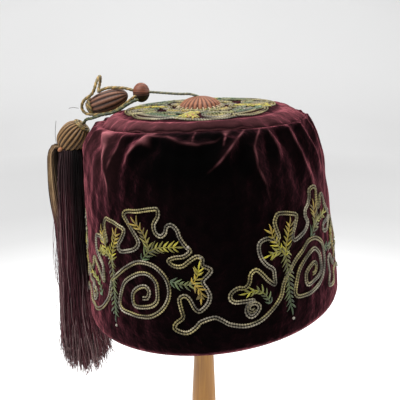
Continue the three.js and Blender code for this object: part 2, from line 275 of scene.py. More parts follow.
class Shader:
    """A node tree being wired, of a material or of a shared group."""

    def __init__(self, tree: Nodes) -> None:
        """Starts on an empty tree."""
        self.tree = tree
        tree.nodes.clear()

    @classmethod
    def material(cls, name: str) -> tuple["Shader", Material]:
        """Starts the nodes of a new material.

        Args:
            name: The material's name.

        Returns:
            Its nodes, and the material.
        """
        made = bpy.data.materials.new(name)
        made.use_nodes = True
        return cls(made.node_tree), made

    @classmethod
    def group(cls, name: str, values: Sequence[str], output: str) -> tuple["Shader", Sequence[Socket]]:
        """Starts a shared group that reads a place and some numbers, and gives one number.

        Args:
            name: The group's name.
            values: The names of the numbers that it reads.
            output: The name of the number that it gives.

        Returns:
            Its nodes, and the sockets of what it reads, place first.
        """
        made = bpy.data.node_groups.new(name, "ShaderNodeTree")
        made.interface.new_socket("Vector", in_out="INPUT", socket_type="NodeSocketVector")
        for value in values:
            made.interface.new_socket(value, in_out="INPUT", socket_type="NodeSocketFloat")
        made.interface.new_socket(output, in_out="OUTPUT", socket_type="NodeSocketFloat")
        return cls(made), made.nodes.new("NodeGroupInput").outputs

    def ended(self, number: Socket) -> Nodes:
        """Gives a shared group that ends in a number."""
        self.tree.links.new(number, self.tree.nodes.new("NodeGroupOutput").inputs[0])
        return self.tree

    def node(self, kind: str, inputs: dict[str | int, object], **settings: object) -> Node:
        """Adds a node.

        Args:
            kind: The node's type, without its common prefix.
            inputs: Sockets to link, or values to set, by the input's name or number.
            **settings: The node's own properties.

        Returns:
            The node.
        """
        made = self.tree.nodes.new("ShaderNode" + kind)
        for name, value in settings.items():
            setattr(made, name, value)
        for key, value in inputs.items():
            given = made.inputs[key]
            if isinstance(value, Socket):
                self.tree.links.new(value, given)
            else:
                given.default_value = (*value, 1.0) if given.type == "RGBA" else value
        return made

    def place(self) -> Socket:
        """Reads the place on the object."""
        return self.node("TexCoord", {}).outputs["Object"]

    def stored(self, name: str, output: str = "Fac") -> Socket:
        """Reads what a mesh keeps for its vertices."""
        return self.node("Attribute", {}, attribute_name=name).outputs[output]

    def math(self, operation: str, first: object, second: object = 0.0, **settings: object) -> Socket:
        """Combines two numbers."""
        return self.node("Math", {0: first, 1: second}, operation=operation, **settings).outputs[0]

    def mix(self, share: object, first: object, second: object, blend: str = "MIX") -> Socket:
        """Mixes a share of a second colour into a first."""
        inputs = {0: share, 6: first, 7: second}
        return self.node("Mix", inputs, data_type="RGBA", blend_type=blend).outputs[2]

    def shaded(self, mask: Socket, colour: Socket, shade: Colour) -> Socket:
        """Multiplies a colour by a shade as far as a mask says."""
        return self.mix(mask, colour, self.mix(1.0, colour, shade, "MULTIPLY"))

    def ramp(self, share: Socket, stops: Sequence[tuple[float, Colour]]) -> Socket:
        """Turns a number into a colour.

        Args:
            share: The number.
            stops: Numbers in rising order, each with its colour.

        Returns:
            The colour between the stops.
        """
        made = self.node("ValToRGB", {"Fac": share})
        stop_list = made.color_ramp.elements
        while len(stop_list) < len(stops):
            stop_list.new(0.5)
        for stop, (at, colour) in zip(stop_list, stops):
            stop.position = at
            stop.color = (*colour, 1.0)
        return made.outputs["Color"]

    def bump(self, height: Socket, strength: float, depth: float) -> Socket:
        """Turns heights into a normal; depth is in metres."""
        inputs = {"Height": height, "Strength": strength, "Distance": depth}
        return self.node("Bump", inputs).outputs["Normal"]

    def drawn_out(self, place: Socket, share: float) -> Socket:
        """Shrinks a place along +Z, so that a texture on it is drawn out that way."""
        return self.node("Mapping", {"Vector": place, "Scale": (1.0, 1.0, share)}).outputs["Vector"]

    def noise(self, place: Socket, scale: object, detail: float, distortion: float = 0.0) -> Socket:
        """Lays a soft noise."""
        inputs = {"Vector": place, "Scale": scale, "Detail": detail, "Distortion": distortion}
        return self.node("TexNoise", inputs).outputs["Fac"]

    def mottle(self, place: Socket, scale: float, contrast: float) -> Socket:
        """Lays the shared soft patches."""
        inputs = {"Vector": place, "Scale": scale, "Contrast": contrast}
        return self.node("Group", inputs, node_tree=SharedEffects.mottle()).outputs["Mask"]

    def nap(self, place: Socket, scale: float) -> Socket:
        """Lays the shared fine fibres."""
        inputs = {"Vector": place, "Scale": scale}
        return self.node("Group", inputs, node_tree=SharedEffects.nap()).outputs["Height"]

    def surface(self, inputs: dict[str | int, object]) -> None:
        """Ends a material in its one surface shader."""
        shader = self.node("BsdfPrincipled", inputs)
        self.node("OutputMaterial", {"Surface": shader.outputs["BSDF"]})


class SharedEffects:
    """Effects that several finishes use, each built once as a group of nodes."""

    MOTTLE_DETAIL: ClassVar[float] = 4.0
    NAP_DETAIL: ClassVar[float] = 2.0
    NAP_WIDER: ClassVar[float] = 0.22

    @classmethod
    @cache
    def mottle(cls) -> Nodes:
        """Builds soft patches, as of nap brushed both ways or of tarnish.

        Returns:
            The group, which gives a mask from 0 to 1.
        """
        shader, (place, scale, contrast, *_) = Shader.group("Mottle", ("Scale", "Contrast"), "Mask")
        centred = shader.math("SUBTRACT", shader.noise(place, scale, cls.MOTTLE_DETAIL), 0.5)
        spread = shader.math("MULTIPLY", centred, contrast)
        return shader.ended(shader.math("ADD", spread, 0.5, use_clamp=True))

    @classmethod
    @cache
    def nap(cls) -> Nodes:
        """Builds fine upstanding fibres, as a wide noise laid over a fine one.

        Returns:
            The group, which gives heights from 0 to 1.
        """
        shader, (place, scale, *_) = Shader.group("Nap", ("Scale",), "Height")
        fine = shader.noise(place, scale, cls.NAP_DETAIL)
        wide = shader.noise(place, shader.math("MULTIPLY", scale, cls.NAP_WIDER), cls.NAP_DETAIL)
        return shader.ended(shader.math("MULTIPLY", shader.math("ADD", fine, wide), 0.5))


@dataclass(frozen=True)
class VelvetFinish:
    """Dark burgundy cut pile with a painted sheen: nearly black straight on, red where it is seen edge on."""

    name: str = "velvet_pile"
    # How far from straight on it is seen, and the pile's colour then, a painted sheen that reddens it edge on
    pile_and_sheen: tuple[tuple[float, Colour], ...] = (
        (0.0, (0.0020, 0.0008, 0.0009)), (0.12, (0.0034, 0.0010, 0.0013)), (0.25, (0.0068, 0.0017, 0.0024)),
        (0.42, (0.024, 0.0057, 0.0080)), (0.62, (0.062, 0.0148, 0.0205)), (0.80, (0.150, 0.037, 0.048)),
        (1.0, (0.36, 0.10, 0.115)),
    )
    # The colour of wear and of painted highlights on the crests
    wear_and_highlight: Colour = (0.33, 0.112, 0.125)
    wear_and_highlight_least: float = 0.35
    crushed: Colour = (0.42, 0.42, 0.45)
    tufted: Colour = (0.45, 0.42, 0.45)
    # The multiplier of painted shade
    shade: Colour = (0.12, 0.12, 0.14)
    patch: float = 46.0
    patch_contrast: float = 2.4
    streak: float = 0.45
    tuft: float = 150.0
    tuft_contrast: float = 3.2
    ruffle: float = 0.0008
    ruffle_strength: float = 0.8
    fibre: float = 1900.0
    fibre_depth: float = 0.0006
    fibre_strength: float = 0.35
    roughness: float = 0.92
    specular: float = 0.02
    sheen: Colour = (0.62, 0.14, 0.19)
    sheen_weight: float = 0.04
    sheen_roughness: float = 0.24

    def material(self) -> Material:
        """Builds the finish, with a painted sheen edge on; it reads vertex numbers for wear with painted
        highlights and for painted shade.

        Returns:
            The material.
        """
        shader, made = Shader.material(self.name)
        place = shader.place()
        patches = shader.mottle(shader.drawn_out(place, self.streak), self.patch, self.patch_contrast)
        fibres = shader.nap(place, self.fibre)
        tufts = shader.mottle(place, self.tuft, self.tuft_contrast)
        leaning = shader.bump(tufts, self.ruffle_strength, self.ruffle)
        edge_on = shader.node("LayerWeight", {"Blend": 0.5, "Normal": leaning}).outputs["Facing"]
        # The pile's colour, with a painted sheen that reddens it edge on
        colour = shader.ramp(edge_on, self.pile_and_sheen)
        # Painted shade between the gathers and on the tip's middle
        painted_shade = shader.stored("painted_shade")
        for mask, shade in ((patches, self.crushed), (tufts, self.tufted), (painted_shade, self.shade)):
            colour = shader.shaded(mask, colour, shade)
        # Wear and painted highlights along the crests, flecked by the fibres
        wear_and_highlight_share = shader.math("MULTIPLY", shader.stored("wear_and_highlight"), shader.math("ADD", fibres, self.wear_and_highlight_least))
        shader.surface(
            {
                "Base Color": shader.mix(wear_and_highlight_share, colour, self.wear_and_highlight),
                "Roughness": self.roughness,
                "Specular IOR Level": self.specular,
                "Sheen Weight": self.sheen_weight,
                "Sheen Roughness": self.sheen_roughness,
                "Sheen Tint": self.sheen,
                "Normal": shader.bump(fibres, self.fibre_strength, self.fibre_depth),
            }
        )
        return made


@dataclass(frozen=True)
class ThreadFinish:
    """Silk or gilt thread whose colour is kept in the mesh."""

    name: str
    roughness: float = 0.45
    metallic: float = 0.0
    sheen_weight: float = 0.0
    dull: Colour = (0.45, 0.42, 0.40)
    patch: float = 160.0
    specular: float = 0.35
    patch_contrast: float = 1.8
    fibre: float = 4200.0
    fibre_depth: float = 0.0003
    fibre_strength: float = 0.2

    def material(self) -> Material:
        """Builds the finish; it reads the vertex colour 'dye'.

        Returns:
            The material.
        """
        shader, made = Shader.material(self.name)
        place = shader.place()
        patches = shader.mottle(place, self.patch, self.patch_contrast)
        fibres = shader.nap(place, self.fibre)
        shader.surface(
            {
                "Base Color": shader.shaded(patches, shader.stored("dye", "Color"), self.dull),
                "Roughness": self.roughness,
                "Metallic": self.metallic,
                "Specular IOR Level": self.specular,
                "Sheen Weight": self.sheen_weight,
                "Normal": shader.bump(fibres, self.fibre_strength, self.fibre_depth),
            }
        )
        return made


@dataclass(frozen=True)
class WoodFinish:
    """Pale turned wood with its grain along the post."""

    name: str = "turned_wood"
    light: Colour = (0.43, 0.205, 0.034)
    dark: Colour = (0.28, 0.118, 0.020)
    # How far into the grain the wood is dark, and from where it is light
    dark_until: float = 0.30
    light_from: float = 0.62
    ring: float = 95.0
    grains: float = 4.0
    grain_detail: float = 6.0
    grain_bends: float = 0.6
    drawn: float = 0.06
    patchiness: float = 0.45
    patch_contrast: float = 2.5
    smoothest: float = 0.36
    roughest: float = 0.58
    relief: float = 0.0006
    relief_strength: float = 0.12

    def material(self) -> Material:
        """Builds the finish; the grain runs along +Z.

        Returns:
            The material.
        """
        shader, made = Shader.material(self.name)
        drawn_out = shader.drawn_out(shader.place(), self.drawn)
        grain = shader.noise(drawn_out, self.ring * self.grains, self.grain_detail, self.grain_bends)
        patches = shader.mottle(drawn_out, self.ring, self.patch_contrast)
        patches = shader.math("MULTIPLY", patches, self.patchiness)
        colour = shader.ramp(grain, ((self.dark_until, self.dark), (self.light_from, self.light)))
        rough = shader.node("MapRange", {"Value": grain, "To Min": self.smoothest, "To Max": self.roughest})
        shader.surface(
            {
                "Base Color": shader.mix(patches, colour, self.dark),
                "Roughness": rough.outputs["Result"],
                "Normal": shader.bump(grain, self.relief_strength, self.relief),
            }
        )
        return made


@dataclass(frozen=True)
class FloorFinish:
    """Pale paper sweep with painted light and shade graded across it."""

    name: str = "paper_sweep"
    # How far from the object, as a share of the paper's length, and the paper's tone there, a painted light
    # and shade
    painted_light_tones: Chart = (
        (0.146, 0.92), (0.160, 0.70), (0.176, 0.585), (0.205, 0.515), (0.25, 0.51), (0.36, 0.64),
        (0.43, 0.77), (0.51, 0.80), (0.58, 0.91), (0.66, 1.0),
    )
    length: float = 3.0
    patch: float = 1.6
    patch_contrast: float = 1.0
    uneven: Colour = (0.96, 0.96, 0.96)
    roughness: float = 0.8

    def material(self) -> Material:
        """Builds the finish, with painted light and shade graded away from the object and a faint unevenness.

        Returns:
            The material.
        """
        shader, made = Shader.material(self.name)
        place = shader.place()
        away = shader.node("VectorMath", {"Vector": place}, operation="LENGTH").outputs["Value"]
        stops = [(at, (grey, grey, grey)) for at, grey in self.painted_light_tones]
        # Painted light and shade graded away from the object
        painted_light_tone = shader.ramp(shader.math("DIVIDE", away, self.length), stops)
        patches = shader.mottle(place, self.patch, self.patch_contrast)
        colour = shader.shaded(patches, painted_light_tone, self.uneven)
        shader.surface({"Base Color": colour, "Roughness": self.roughness})
        return made


class Threads:
    """Many cords, threads or stitches joined in one mesh, each with its own dye."""

    GROOVE: ClassVar[float] = 0.3
    GROOVE_POWER: ClassVar[float] = 1.5
    GROOVE_SHADE: ClassVar[float] = 0.35
    SHADE_POWER: ClassVar[float] = 0.7

    def __init__(self) -> None:
        """Starts with no threads."""
        self._corners: list[Array] = []
        self._faces: list[Array] = []
        self._dyes: list[Array] = []
        self._count = 0

    def add(
        self,
        path: Array,
        radius: float | Array,
        dye: Sequence[float] | Array,
        sides: int,
        outward: Array | None = None,
        flat: float = 1.0,
        second_dye: Colour | None = None,
        pitch: float = 0.0,
        lay: Lay = Lay.RIGHT,
    ) -> None:
        """Adds one thread along a path.

        Args:
            path: Its centreline, one point in each row.
            radius: Its radius, or one for each point.
            dye: Its colour, or one for each point.
            sides: Faces round it.
            outward: A direction for each point that its flat side faces, or none for a round thread.
            flat: Its thickness along outward, as a share of its width.
            second_dye: The colour of its second ply, if it is a cord twisted of two.
            pitch: The length of one whole twist of a cord.
            lay: Which way a cord is twisted.
        """
        count = len(path)
        along = unit(np.gradient(path, axis=0))
        if outward is None:
            outward = self._carried(along)
        outward = unit(outward - along * np.sum(outward * along, axis=1, keepdims=True))
        sideways = np.cross(along, outward)
        turn = np.arange(sides) * math.tau / sides
        reach = np.broadcast_to(np.asarray(radius, float), (count,))[:, None] * np.ones((1, sides))
        colour = np.broadcast_to(np.asarray(dye, float), (count, 3))[:, None, :] * np.ones((1, sides, 1))
        if second_dye is not None:
            ply = np.cos(turn[None, :] - lay.value * math.tau * run_of(path)[:, None] / pitch)
            swell = np.abs(ply)
            reach = reach * (1.0 - self.GROOVE * (1.0 - swell) ** self.GROOVE_POWER)
            colour = np.where(ply[:, :, None] > 0, colour, np.asarray(second_dye, float))
            light = swell[:, :, None] ** self.SHADE_POWER
            colour = colour * (self.GROOVE_SHADE + (1.0 - self.GROOVE_SHADE) * light)
        ring = sideways[:, None, :] * np.cos(turn)[None, :, None]
        ring = ring + outward[:, None, :] * (flat * np.sin(turn))[None, :, None]
        self._join(path[:, None, :] + ring * reach[:, :, None], colour)

    @staticmethod
    def _carried(along: Array) -> Array:
        """Carries a sideways direction along a path without twisting it.

        Args:
            along: The way of the path at each of its points.

        Returns:
            The direction at each point.
        """
        carried = [Vector(along[0]).orthogonal().normalized()]
        for before, after in zip(along, along[1:]):
            carried.append(Vector(before).rotation_difference(Vector(after)) @ carried[-1])
        return np.array(carried)

    def _join(self, corners: Array, colour: Array) -> None:
        """Joins one thread, with closed ends, to the rest.

        Args:
            corners: The corners of each of its rings.
            colour: The colour of each corner.
        """
        rings, sides = corners.shape[:2]
        last = rings * sides
        ring = np.arange(last).reshape(rings, sides)
        after = np.roll(ring, -1, axis=1)
        faces = [np.stack([ring[:-1], after[:-1], after[1:], ring[1:]], axis=-1).reshape(-1, 4)]
        for middle, one, other in ((last, after[0], ring[0]), (last + 1, ring[-1], after[-1])):
            faces.append(np.stack([np.full(sides, middle), one, other, np.full(sides, middle)], axis=-1))
        self._faces.append(np.vstack(faces) + self._count)
        self._corners.append(np.vstack([corners.reshape(-1, 3), corners[[0, -1]].mean(axis=1)]))
        self._dyes.append(np.vstack([colour.reshape(-1, 3), colour[[0, -1]].mean(axis=1)]))
        self._count += last + 2

    def mesh(self, name: str) -> Mesh:
        """Gives all the threads as one mesh.

        Args:
            name: The mesh's name, which its piece takes too.

        Returns:
            The smooth mesh, with the vertex colour 'dye'.
        """
        corners, faces = np.vstack(self._corners), np.vstack(self._faces)
        keep = np.ones(faces.shape, bool)
        keep[:, 3] = faces[:, 0] != faces[:, 3]
        sizes = keep.sum(axis=1)
        made = bpy.data.meshes.new(name)
        made.vertices.add(len(corners))
        made.vertices.foreach_set("co", corners.ravel())
        made.loops.add(int(sizes.sum()))
        made.loops.foreach_set("vertex_index", faces[keep].astype(np.int32))
        made.polygons.add(len(faces))
        made.polygons.foreach_set("loop_start", np.r_[0, np.cumsum(sizes)[:-1]].astype(np.int32))
        made.update(calc_edges=True)
        made.validate()
        tint(made, "dye", np.vstack(self._dyes))
        made.shade_smooth()
        return made


@dataclass(frozen=True)
class Fold:
    """A gather of the velvet: its crest as azimuth and height, its size, and its wear with a painted
    highlight along the crest and on the rubbed patch at its head.
    """

    crest: Chart
    ridge: float
    width: float
    wear_and_highlight: float
    patch: float = 0.0


@dataclass
class Crown:
    """The gathered wall of the cap, its tip and the cloth's form at any place on them."""

    hem_height: float = 165.0
    hem_radius: float = 91.6
    hem_shift: float = 7.8
    lean: float = 4.5
    thickness: float = 2.5
    steps: int = 720
    plain_rows: int = 26
    gathered_rows: int = 92
    gathered_from: float = 78.0
    inside_rows: int = 10
    # Millimetres to a degree, then a gather's form and its wear with a painted highlight
    degree: float = 1.4
    fold_reach: float = 6.0
    crest_round: float = 0.02
    crest_sunk: float = 0.14
    ridge_fall: float = 1.15
    trough: float = 0.40
    trough_at: float = 2.0
    trough_width: float = 1.2
    wear_and_highlight_line: float = 0.5
    wear_and_highlight_at: float = 0.16
    wear_and_highlight_length: float = 0.13
    wear_and_highlight_least: float = 0.65
    wear_and_highlight_waves: float = 23.0
    # The seam with the tip, and how the wall puffs, sags and tilts
    seam_height: float = 132.0
    seam_over: float = 0.5
    seam_ease: float = 5.0
    ripple_from: float = 20.0
    puff_height: float = 108.0
    puff_tilt: float = 55.0
    sag_towards: float = -76.0
    sag_all: float = 0.2
    sag_further: float = 3.6
    sag_level: float = 45.0
    tilt_sideways: float = 1.7
    tilt_backwards: float = 0.3
    tilt_level: float = 80.0
    # The tip, its padded border and the slack of its edge
    tip_height: float = 133.6
    tip_radius: float = 63.5
    tip_dome: float = 4.5
    tip_flatness: float = 10.0
    tip_thickness: float = 3.0
    tip_border: float = 55.0
    tip_padding: float = 1.2
    tip_padding_width: float = 3.0
    tip_seam: float = 0.6
    tip_seam_width: float = 1.1
    tip_edge: float = 1.6
    tip_edge_level: float = -0.9
    tip_over: float = 1.2
    tip_under: float = 2.6
    tip_steps: int = 216
    tip_dimple: float = 1.5
    tip_dimple_width: float = 22.0
    tip_wavers: float = 4.0
    tip_puckers: float = 6.0
    tip_shade: float = 0.92
    tip_shade_ease: float = 3.0
    tip_wider: float = 7.8
    tip_wider_left: float = 4.6
    tip_droop: float = 3.8
    tip_back_droop: float = 2.4
    spread_from: float = 30.0
    spread_power: int = 7
    droop_from: float = 48.0
    back_droop_from: float = 20.0
    # The wall's lip under the tip, the painted light on its left side and its lit right side, and its tucked
    # shoulder
    lip_radius: float = 74.4
    lip_height: float = 118.0
    lip_ease: float = 8.0
    painted_light_left: float = 0.045
    lit_right: float = 0.85
    tuck_left: float = 2.4
    tuck_height: float = 115.0
    tuck_ease: float = 11.0
    finish: VelvetFinish = VelvetFinish()

    # Height above the hem, outside radius, and how far the ring is pushed towards +X
    SECTIONS: ClassVar[Points] = (
        (0, 90.8, -0.8), (2.5, 91.6, -0.8), (12, 91.2, -0.8), (26, 89.4, -0.6), (45, 88.0, -0.3),
        (65, 86.5, -0.3), (85, 84.8, -0.8), (100, 82.8, -1.4), (112, 80.6, -2.0), (120.5, 77.8, -2.4),
        (127, 74.4, -2.2), (131.3, 70.6, -1.4), (132.4, 66.6, -0.6), (131.8, 63.4, 0), (130.4, 59.5, 0),
    )
    FRONT_FOLDS: ClassVar[tuple[Fold, ...]] = (
        Fold(((-80, 131), (-82, 115), (-85, 98)), 2, 5.0, 0.22),
        Fold(((-67, 132), (-69, 117), (-72, 94)), 2.5, 4.6, 0.29),
        Fold(((-58, 133), (-52, 128), (-47, 122), (-45.5, 114), (-45, 102), (-45, 86)), 4.2, 4.0, 1.0, 4.2),
        Fold(((-39, 133), (-40, 125), (-43, 114), (-45, 106)), 2.5, 3.6, 0.32),
        Fold(((-23, 134), (-28, 126), (-32, 121), (-37, 112)), 3.6, 3.8, 0.78, 2.6),
        Fold(((-24, 131), (-15, 131), (-8, 127), (0, 126), (8, 128), (13, 131)), 2.5, 3.0, 0.22),
        Fold(((-2, 134), (-2.5, 129), (-2, 125)), 1.5, 2.2, 0.2),
        Fold(((13, 134), (12.5, 129), (11, 124)), 2.7, 3.6, 0.43, 1.8),
        Fold(((23, 133), (16, 125), (9, 117), (2, 110)), 3.6, 3.8, 0.38),
        Fold(((31, 133), (25, 122), (24, 112), (27, 100), (28, 88)), 2.9, 3.8, 0.29),
        Fold(((35, 133), (37, 122), (38, 110)), 2, 3.0, 0.24),
        Fold(((47, 133), (48.5, 120), (50, 110), (53, 97), (56, 80)), 3.4, 4.4, 0.35),
        Fold(((59, 132), (62, 118), (66, 102), (67, 86)), 2.9, 4.8, 0.24),
        Fold(((72, 132), (76, 116), (80, 94)), 2.5, 5.0, 0.25),
    )
    # The gathers at the back: lengths in turn, the bend of each, and its ridge, width and wear
    BACK_FIRST: ClassVar[float] = 88.0
    BACK_STEP: ClassVar[float] = 13.5
    BACK_COUNT: ClassVar[int] = 14
    BACK_SWAY: ClassVar[float] = 5.0
    BACK_TOP: ClassVar[float] = 133.0
    BACK_LENGTHS: ClassVar[Point] = (52.0, 34.0, 34.0)
    BACK_BEND: ClassVar[Pair] = (0.3, 0.4)
    BACK_FORM: ClassVar[Point] = (2.9, 4.8, 0.25)
    # Where a gather's ridge, and its wear with a painted highlight, ease off along it: start and span as
    # shares of its length
    RIDGE_ENDS: ClassVar[Pair] = (0.35, 0.65)
    WEAR_AND_HIGHLIGHT_ENDS: ClassVar[Pair] = (0.55, 0.45)
    # Where the pile gets painted light on its left side and where it gets painted shade: start and span of
    # each ease in azimuth, height or lift
    PAINTED_LIGHT_SIDES: ClassVar[Chart] = ((-34.0, -16.0), (-130.0, 40.0))
    PAINTED_LIGHT_RISE: ClassVar[Pair] = (84.0, 30.0)
    SHADE_LEFT: ClassVar[Pair] = (-40.0, 26.0)
    SHADE_RIGHT: ClassVar[Pair] = (12.0, 28.0)
    SHADE_RISE: ClassVar[Pair] = (96.0, 18.0)
    SHADE_LIFT: ClassVar[Pair] = (-0.4, 4.0)
    # Size of each ripple of the wall, and how fast it runs round and up
    RIPPLES: ClassVar[Points] = ((0.25, 0.37, 0.21), (0.2, 0.83, -0.13))
    # The tip: rows on its top, edge and underside, the turn of its edge in degrees, and its edge's waves
    TIP_ROWS: ClassVar[tuple[int, int, int]] = (64, 9, 12)
    TIP_BEND: ClassVar[Pair] = (60.0, -80.0)
    PUCKERS: ClassVar[Points] = ((0.4, 17, 0.8), (0.35, 31, 2.1), (0.4, 7, 0.0))
    WAVERS: ClassVar[Points] = ((0.35, 23, 0.0), (0.3, 41, 1.0))
    # How strongly wear with a painted highlight brightens the welt under the tip's edge, its width, its level
    # and its height
    WELT: ClassVar[Sizes] = (0.5, 0.5, -1.6, 0.8)
    # How strongly wear with a painted highlight brightens the tip's border, stronger towards its left side,
    # over what width, and the start and span of its rise
    BAND: ClassVar[Sizes] = (0.1, 2.0, -0.5, 2.0)

    def __post_init__(self) -> None:
        """Works out the gathers at the back and the way the cap leans."""
        rows = np.array(self.SECTIONS, float)
        self._shifts = rows[: int(np.argmax(rows[:, 0])) + 1]
        self._profile = rounded(rows[:, 1::-1], 0.5)
        rising = np.maximum.accumulate(self._profile[:, 1]) <= self._profile[:, 1]
        self._rise = self._profile[rising]
        self.folds = self.FRONT_FOLDS + tuple(map(self._back_fold, range(self.BACK_COUNT)))
        lean = Matrix.Rotation(-math.radians(self.lean), 4, "Y")
        self.stance = Matrix.Translation((self.hem_shift * MM, 0, self.hem_height * MM)) @ lean
        tilt = Matrix.Rotation(-math.radians(self.tilt_backwards), 4, "X")
        tilt = tilt @ Matrix.Rotation(math.radians(self.tilt_sideways), 4, "Y")
        self.tip_stance = self.stance @ Matrix.Translation((0, 0, self.tip_height * MM)) @ tilt

    def _back_fold(self, index: int) -> Fold:
        """Gives one of the even run of gathers from one side round the back to the other.

        Args:
            index: Which one it is, from 0.

        Returns:
            The gather.
        """
        top = self.BACK_FIRST + self.BACK_STEP * index
        sway = self.BACK_SWAY * (1 if index % 2 else -1)
        length = self.BACK_LENGTHS[index % len(self.BACK_LENGTHS)]
        across, down = self.BACK_BEND
        middle = (top + across * sway, self.seam_height - down * length)
        end = (top + sway, self.seam_height - length)
        return Fold(((top, self.BACK_TOP), middle, end), *self.BACK_FORM)

    def _along_crest(self, fold: Fold, azimuth: Array, height: Array) -> tuple[Array, Array]:
        """Measures places on the wall against a crest.

        Args:
            fold: The gather.
            azimuth: Azimuth of each place.
            height: Height of each place.

        Returns:
            The distance to the crest in millimetres, and the share of its length from the seam.
        """
        crest = np.array(fold.crest, float)
        x, y = ((azimuth - crest[0, 0] + 180.0) % 360.0 - 180.0) * self.degree, height
        nodes = np.stack([(crest[:, 0] - crest[0, 0]) * self.degree, crest[:, 1]], axis=1)
        run = run_of(nodes)
        nearest, share = np.full(azimuth.shape, 1e9), np.zeros(azimuth.shape)
        for start, end, before, after in zip(nodes, nodes[1:], run, run[1:]):
            step = end - start
            t = np.clip(((x - start[0]) * step[0] + (y - start[1]) * step[1]) / (step @ step), 0.0, 1.0)
            away = np.hypot(x - start[0] - t * step[0], y - start[1] - t * step[1])
            closer = away < nearest
            nearest = np.where(closer, away, nearest)
            share = np.where(closer, (before + t * (after - before)) / run[-1], share)
        return nearest, share

    def lift(self, azimuth: Array, height: Array) -> tuple[Array, Array]:
        """Works out how the gathers shape the velvet.

        Args:
            azimuth: Azimuth of each place on the wall.
            height: Height of each place.

        Returns:
            How far each place is lifted in millimetres, and its wear with a painted highlight, from 0 to 1.
        """
        total, wear_and_highlight = np.zeros(azimuth.shape), np.zeros(azimuth.shape)
        below_seam = smooth(height, self.seam_height + self.seam_over, -self.seam_ease)
        for fold in self.folds:
            away, share = self._along_crest(fold, azimuth, height)
            if np.min(away) >= self.fold_reach * fold.width:
                continue
            across = np.sqrt((away / fold.width) ** 2 + self.crest_round) - self.crest_sunk
            trough = self.trough * np.exp(-((across - self.trough_at) ** 2) / self.trough_width)
            ridge = np.exp(-self.ridge_fall * across) - trough
            total += fold.ridge * (1.0 - smooth(share, *self.RIDGE_ENDS)) * ridge * below_seam
            # Wear and a painted highlight along the crest, widest at the rubbed patch at its head
            patch = fold.patch * mound(share, self.wear_and_highlight_at, self.wear_and_highlight_length)
            line = mound(away, 0.0, self.wear_and_highlight_line + patch)
            wave = np.sin(self.wear_and_highlight_waves * share + fold.crest[0][0])
            uneven = self.wear_and_highlight_least + (1.0 - self.wear_and_highlight_least) * wave
            wear_and_highlight = np.maximum(wear_and_highlight, fold.wear_and_highlight * line * (1.0 - smooth(share, *self.WEAR_AND_HIGHLIGHT_ENDS)) * uneven)
        # Painted light on the wall's left side, which faces the key light
        left = math.prod(smooth(azimuth, *ease) for ease in self.PAINTED_LIGHT_SIDES)
        return total, np.maximum(wear_and_highlight, self.painted_light_left * left * smooth(height, *self.PAINTED_LIGHT_RISE))

    def painted_shade(self, azimuth: Array, height: Array) -> Array:
        """Works out the painted shade on the pile between the gathers.

        Args:
            azimuth: Azimuth of each place on the wall.
            height: Height of each place.

        Returns:
            The painted shade of each place, from 0 to 1.
        """
        lit = self.lit_right * smooth(azimuth, *self.SHADE_RIGHT)
        in_front = smooth(azimuth, *self.SHADE_LEFT) * (1.0 - lit)
        low = 1.0 - smooth(self.lift(azimuth, height)[0], *self.SHADE_LIFT)
        return smooth(height, *self.SHADE_RISE) * in_front * low

    def placed(self, azimuth: Array, radius: Array, height: Array) -> tuple[Array, Array]:
        """Finds where places on the wall are on the leaning, gathered cap.

        Args:
            azimuth: Azimuth of each place.
            radius: Its radius before gathering, in millimetres.
            height: Its height before gathering, in millimetres.

        Returns:
            The places in metres, one in each row, and the wear with painted highlight of each.
        """
        lift, wear_and_highlight = self.lift(azimuth, height)
        around = np.radians(azimuth)
        puff = smooth(height, self.puff_height, self.seam_height - self.puff_height)
        up = math.radians(self.puff_tilt) * puff
        ripple = sum(size * np.sin(azimuth * fast + height * rise) for size, fast, rise in self.RIPPLES)
        lip = np.clip((self.lip_radius - radius) / (self.lip_radius - self.tip_radius), 0.0, 1.0)
        lip = lip * smooth(height, self.lip_height, self.lip_ease)
        wider, droop, behind = self.tip_slack(around)
        tuck = self.tuck_left * np.maximum(0.0, -np.sin(around)) ** 2
        tuck = tuck * smooth(height, self.tuck_height, self.tuck_ease)
        ripple = ripple * smooth(height / self.ripple_from)
        out = radius + lift * np.cos(up) + ripple + lip * wider - tuck
        x, y = from_polar(around, out)
        x = x + np.interp(height, self._shifts[:, 0], self._shifts[:, 2])
        share = smooth(height, self.tilt_level, self.seam_height - self.tilt_level)
        sideways, backwards = np.tan(np.radians([self.tilt_sideways, self.tilt_backwards]))
        tilt = x * sideways + y * backwards
        side = np.cos(np.radians(azimuth - self.sag_towards))
        sag = (self.sag_all + self.sag_further * side) * (1.0 - smooth(height / self.sag_level))
        z = height + lift * np.sin(up) - share * tilt - sag - lip * (droop + behind)
        return stood(np.stack([x, y, z], axis=1) * MM, self.stance), wear_and_highlight

    def on_wall(self, azimuth: Array, height: Array, proud: float) -> Array:
        """Finds places on the outside of the wall, lifted off it by proud millimetres."""
        radius = np.interp(height, self._rise[:, 1], self._rise[:, 0]) + proud
        return self.placed(azimuth, radius, height)[0]

    def on_tip(self, azimuth: Array, radius: Array, proud: float | Array) -> Array:
        """Finds places on the top of the tip, lifted off it by proud millimetres."""
        return self.tip_placed(azimuth, radius, self.tip_level(radius) + proud)

    def tip_slack(self, around: Array) -> tuple[Array, Array, Array]:
        """Works out how slack the tip's edge is.

        Args:
            around: How far round each place is, in radians.

        Returns:
            How far the edge spreads, droops at the sides and droops behind, in millimetres.
        """
        side, back = np.sin(around) ** 2, np.maximum(0.0, -np.cos(around)) ** 2
        wider = np.where(np.sin(around) < 0.0, self.tip_wider_left, self.tip_wider)
        return wider * side, self.tip_droop * side, self.tip_back_droop * back

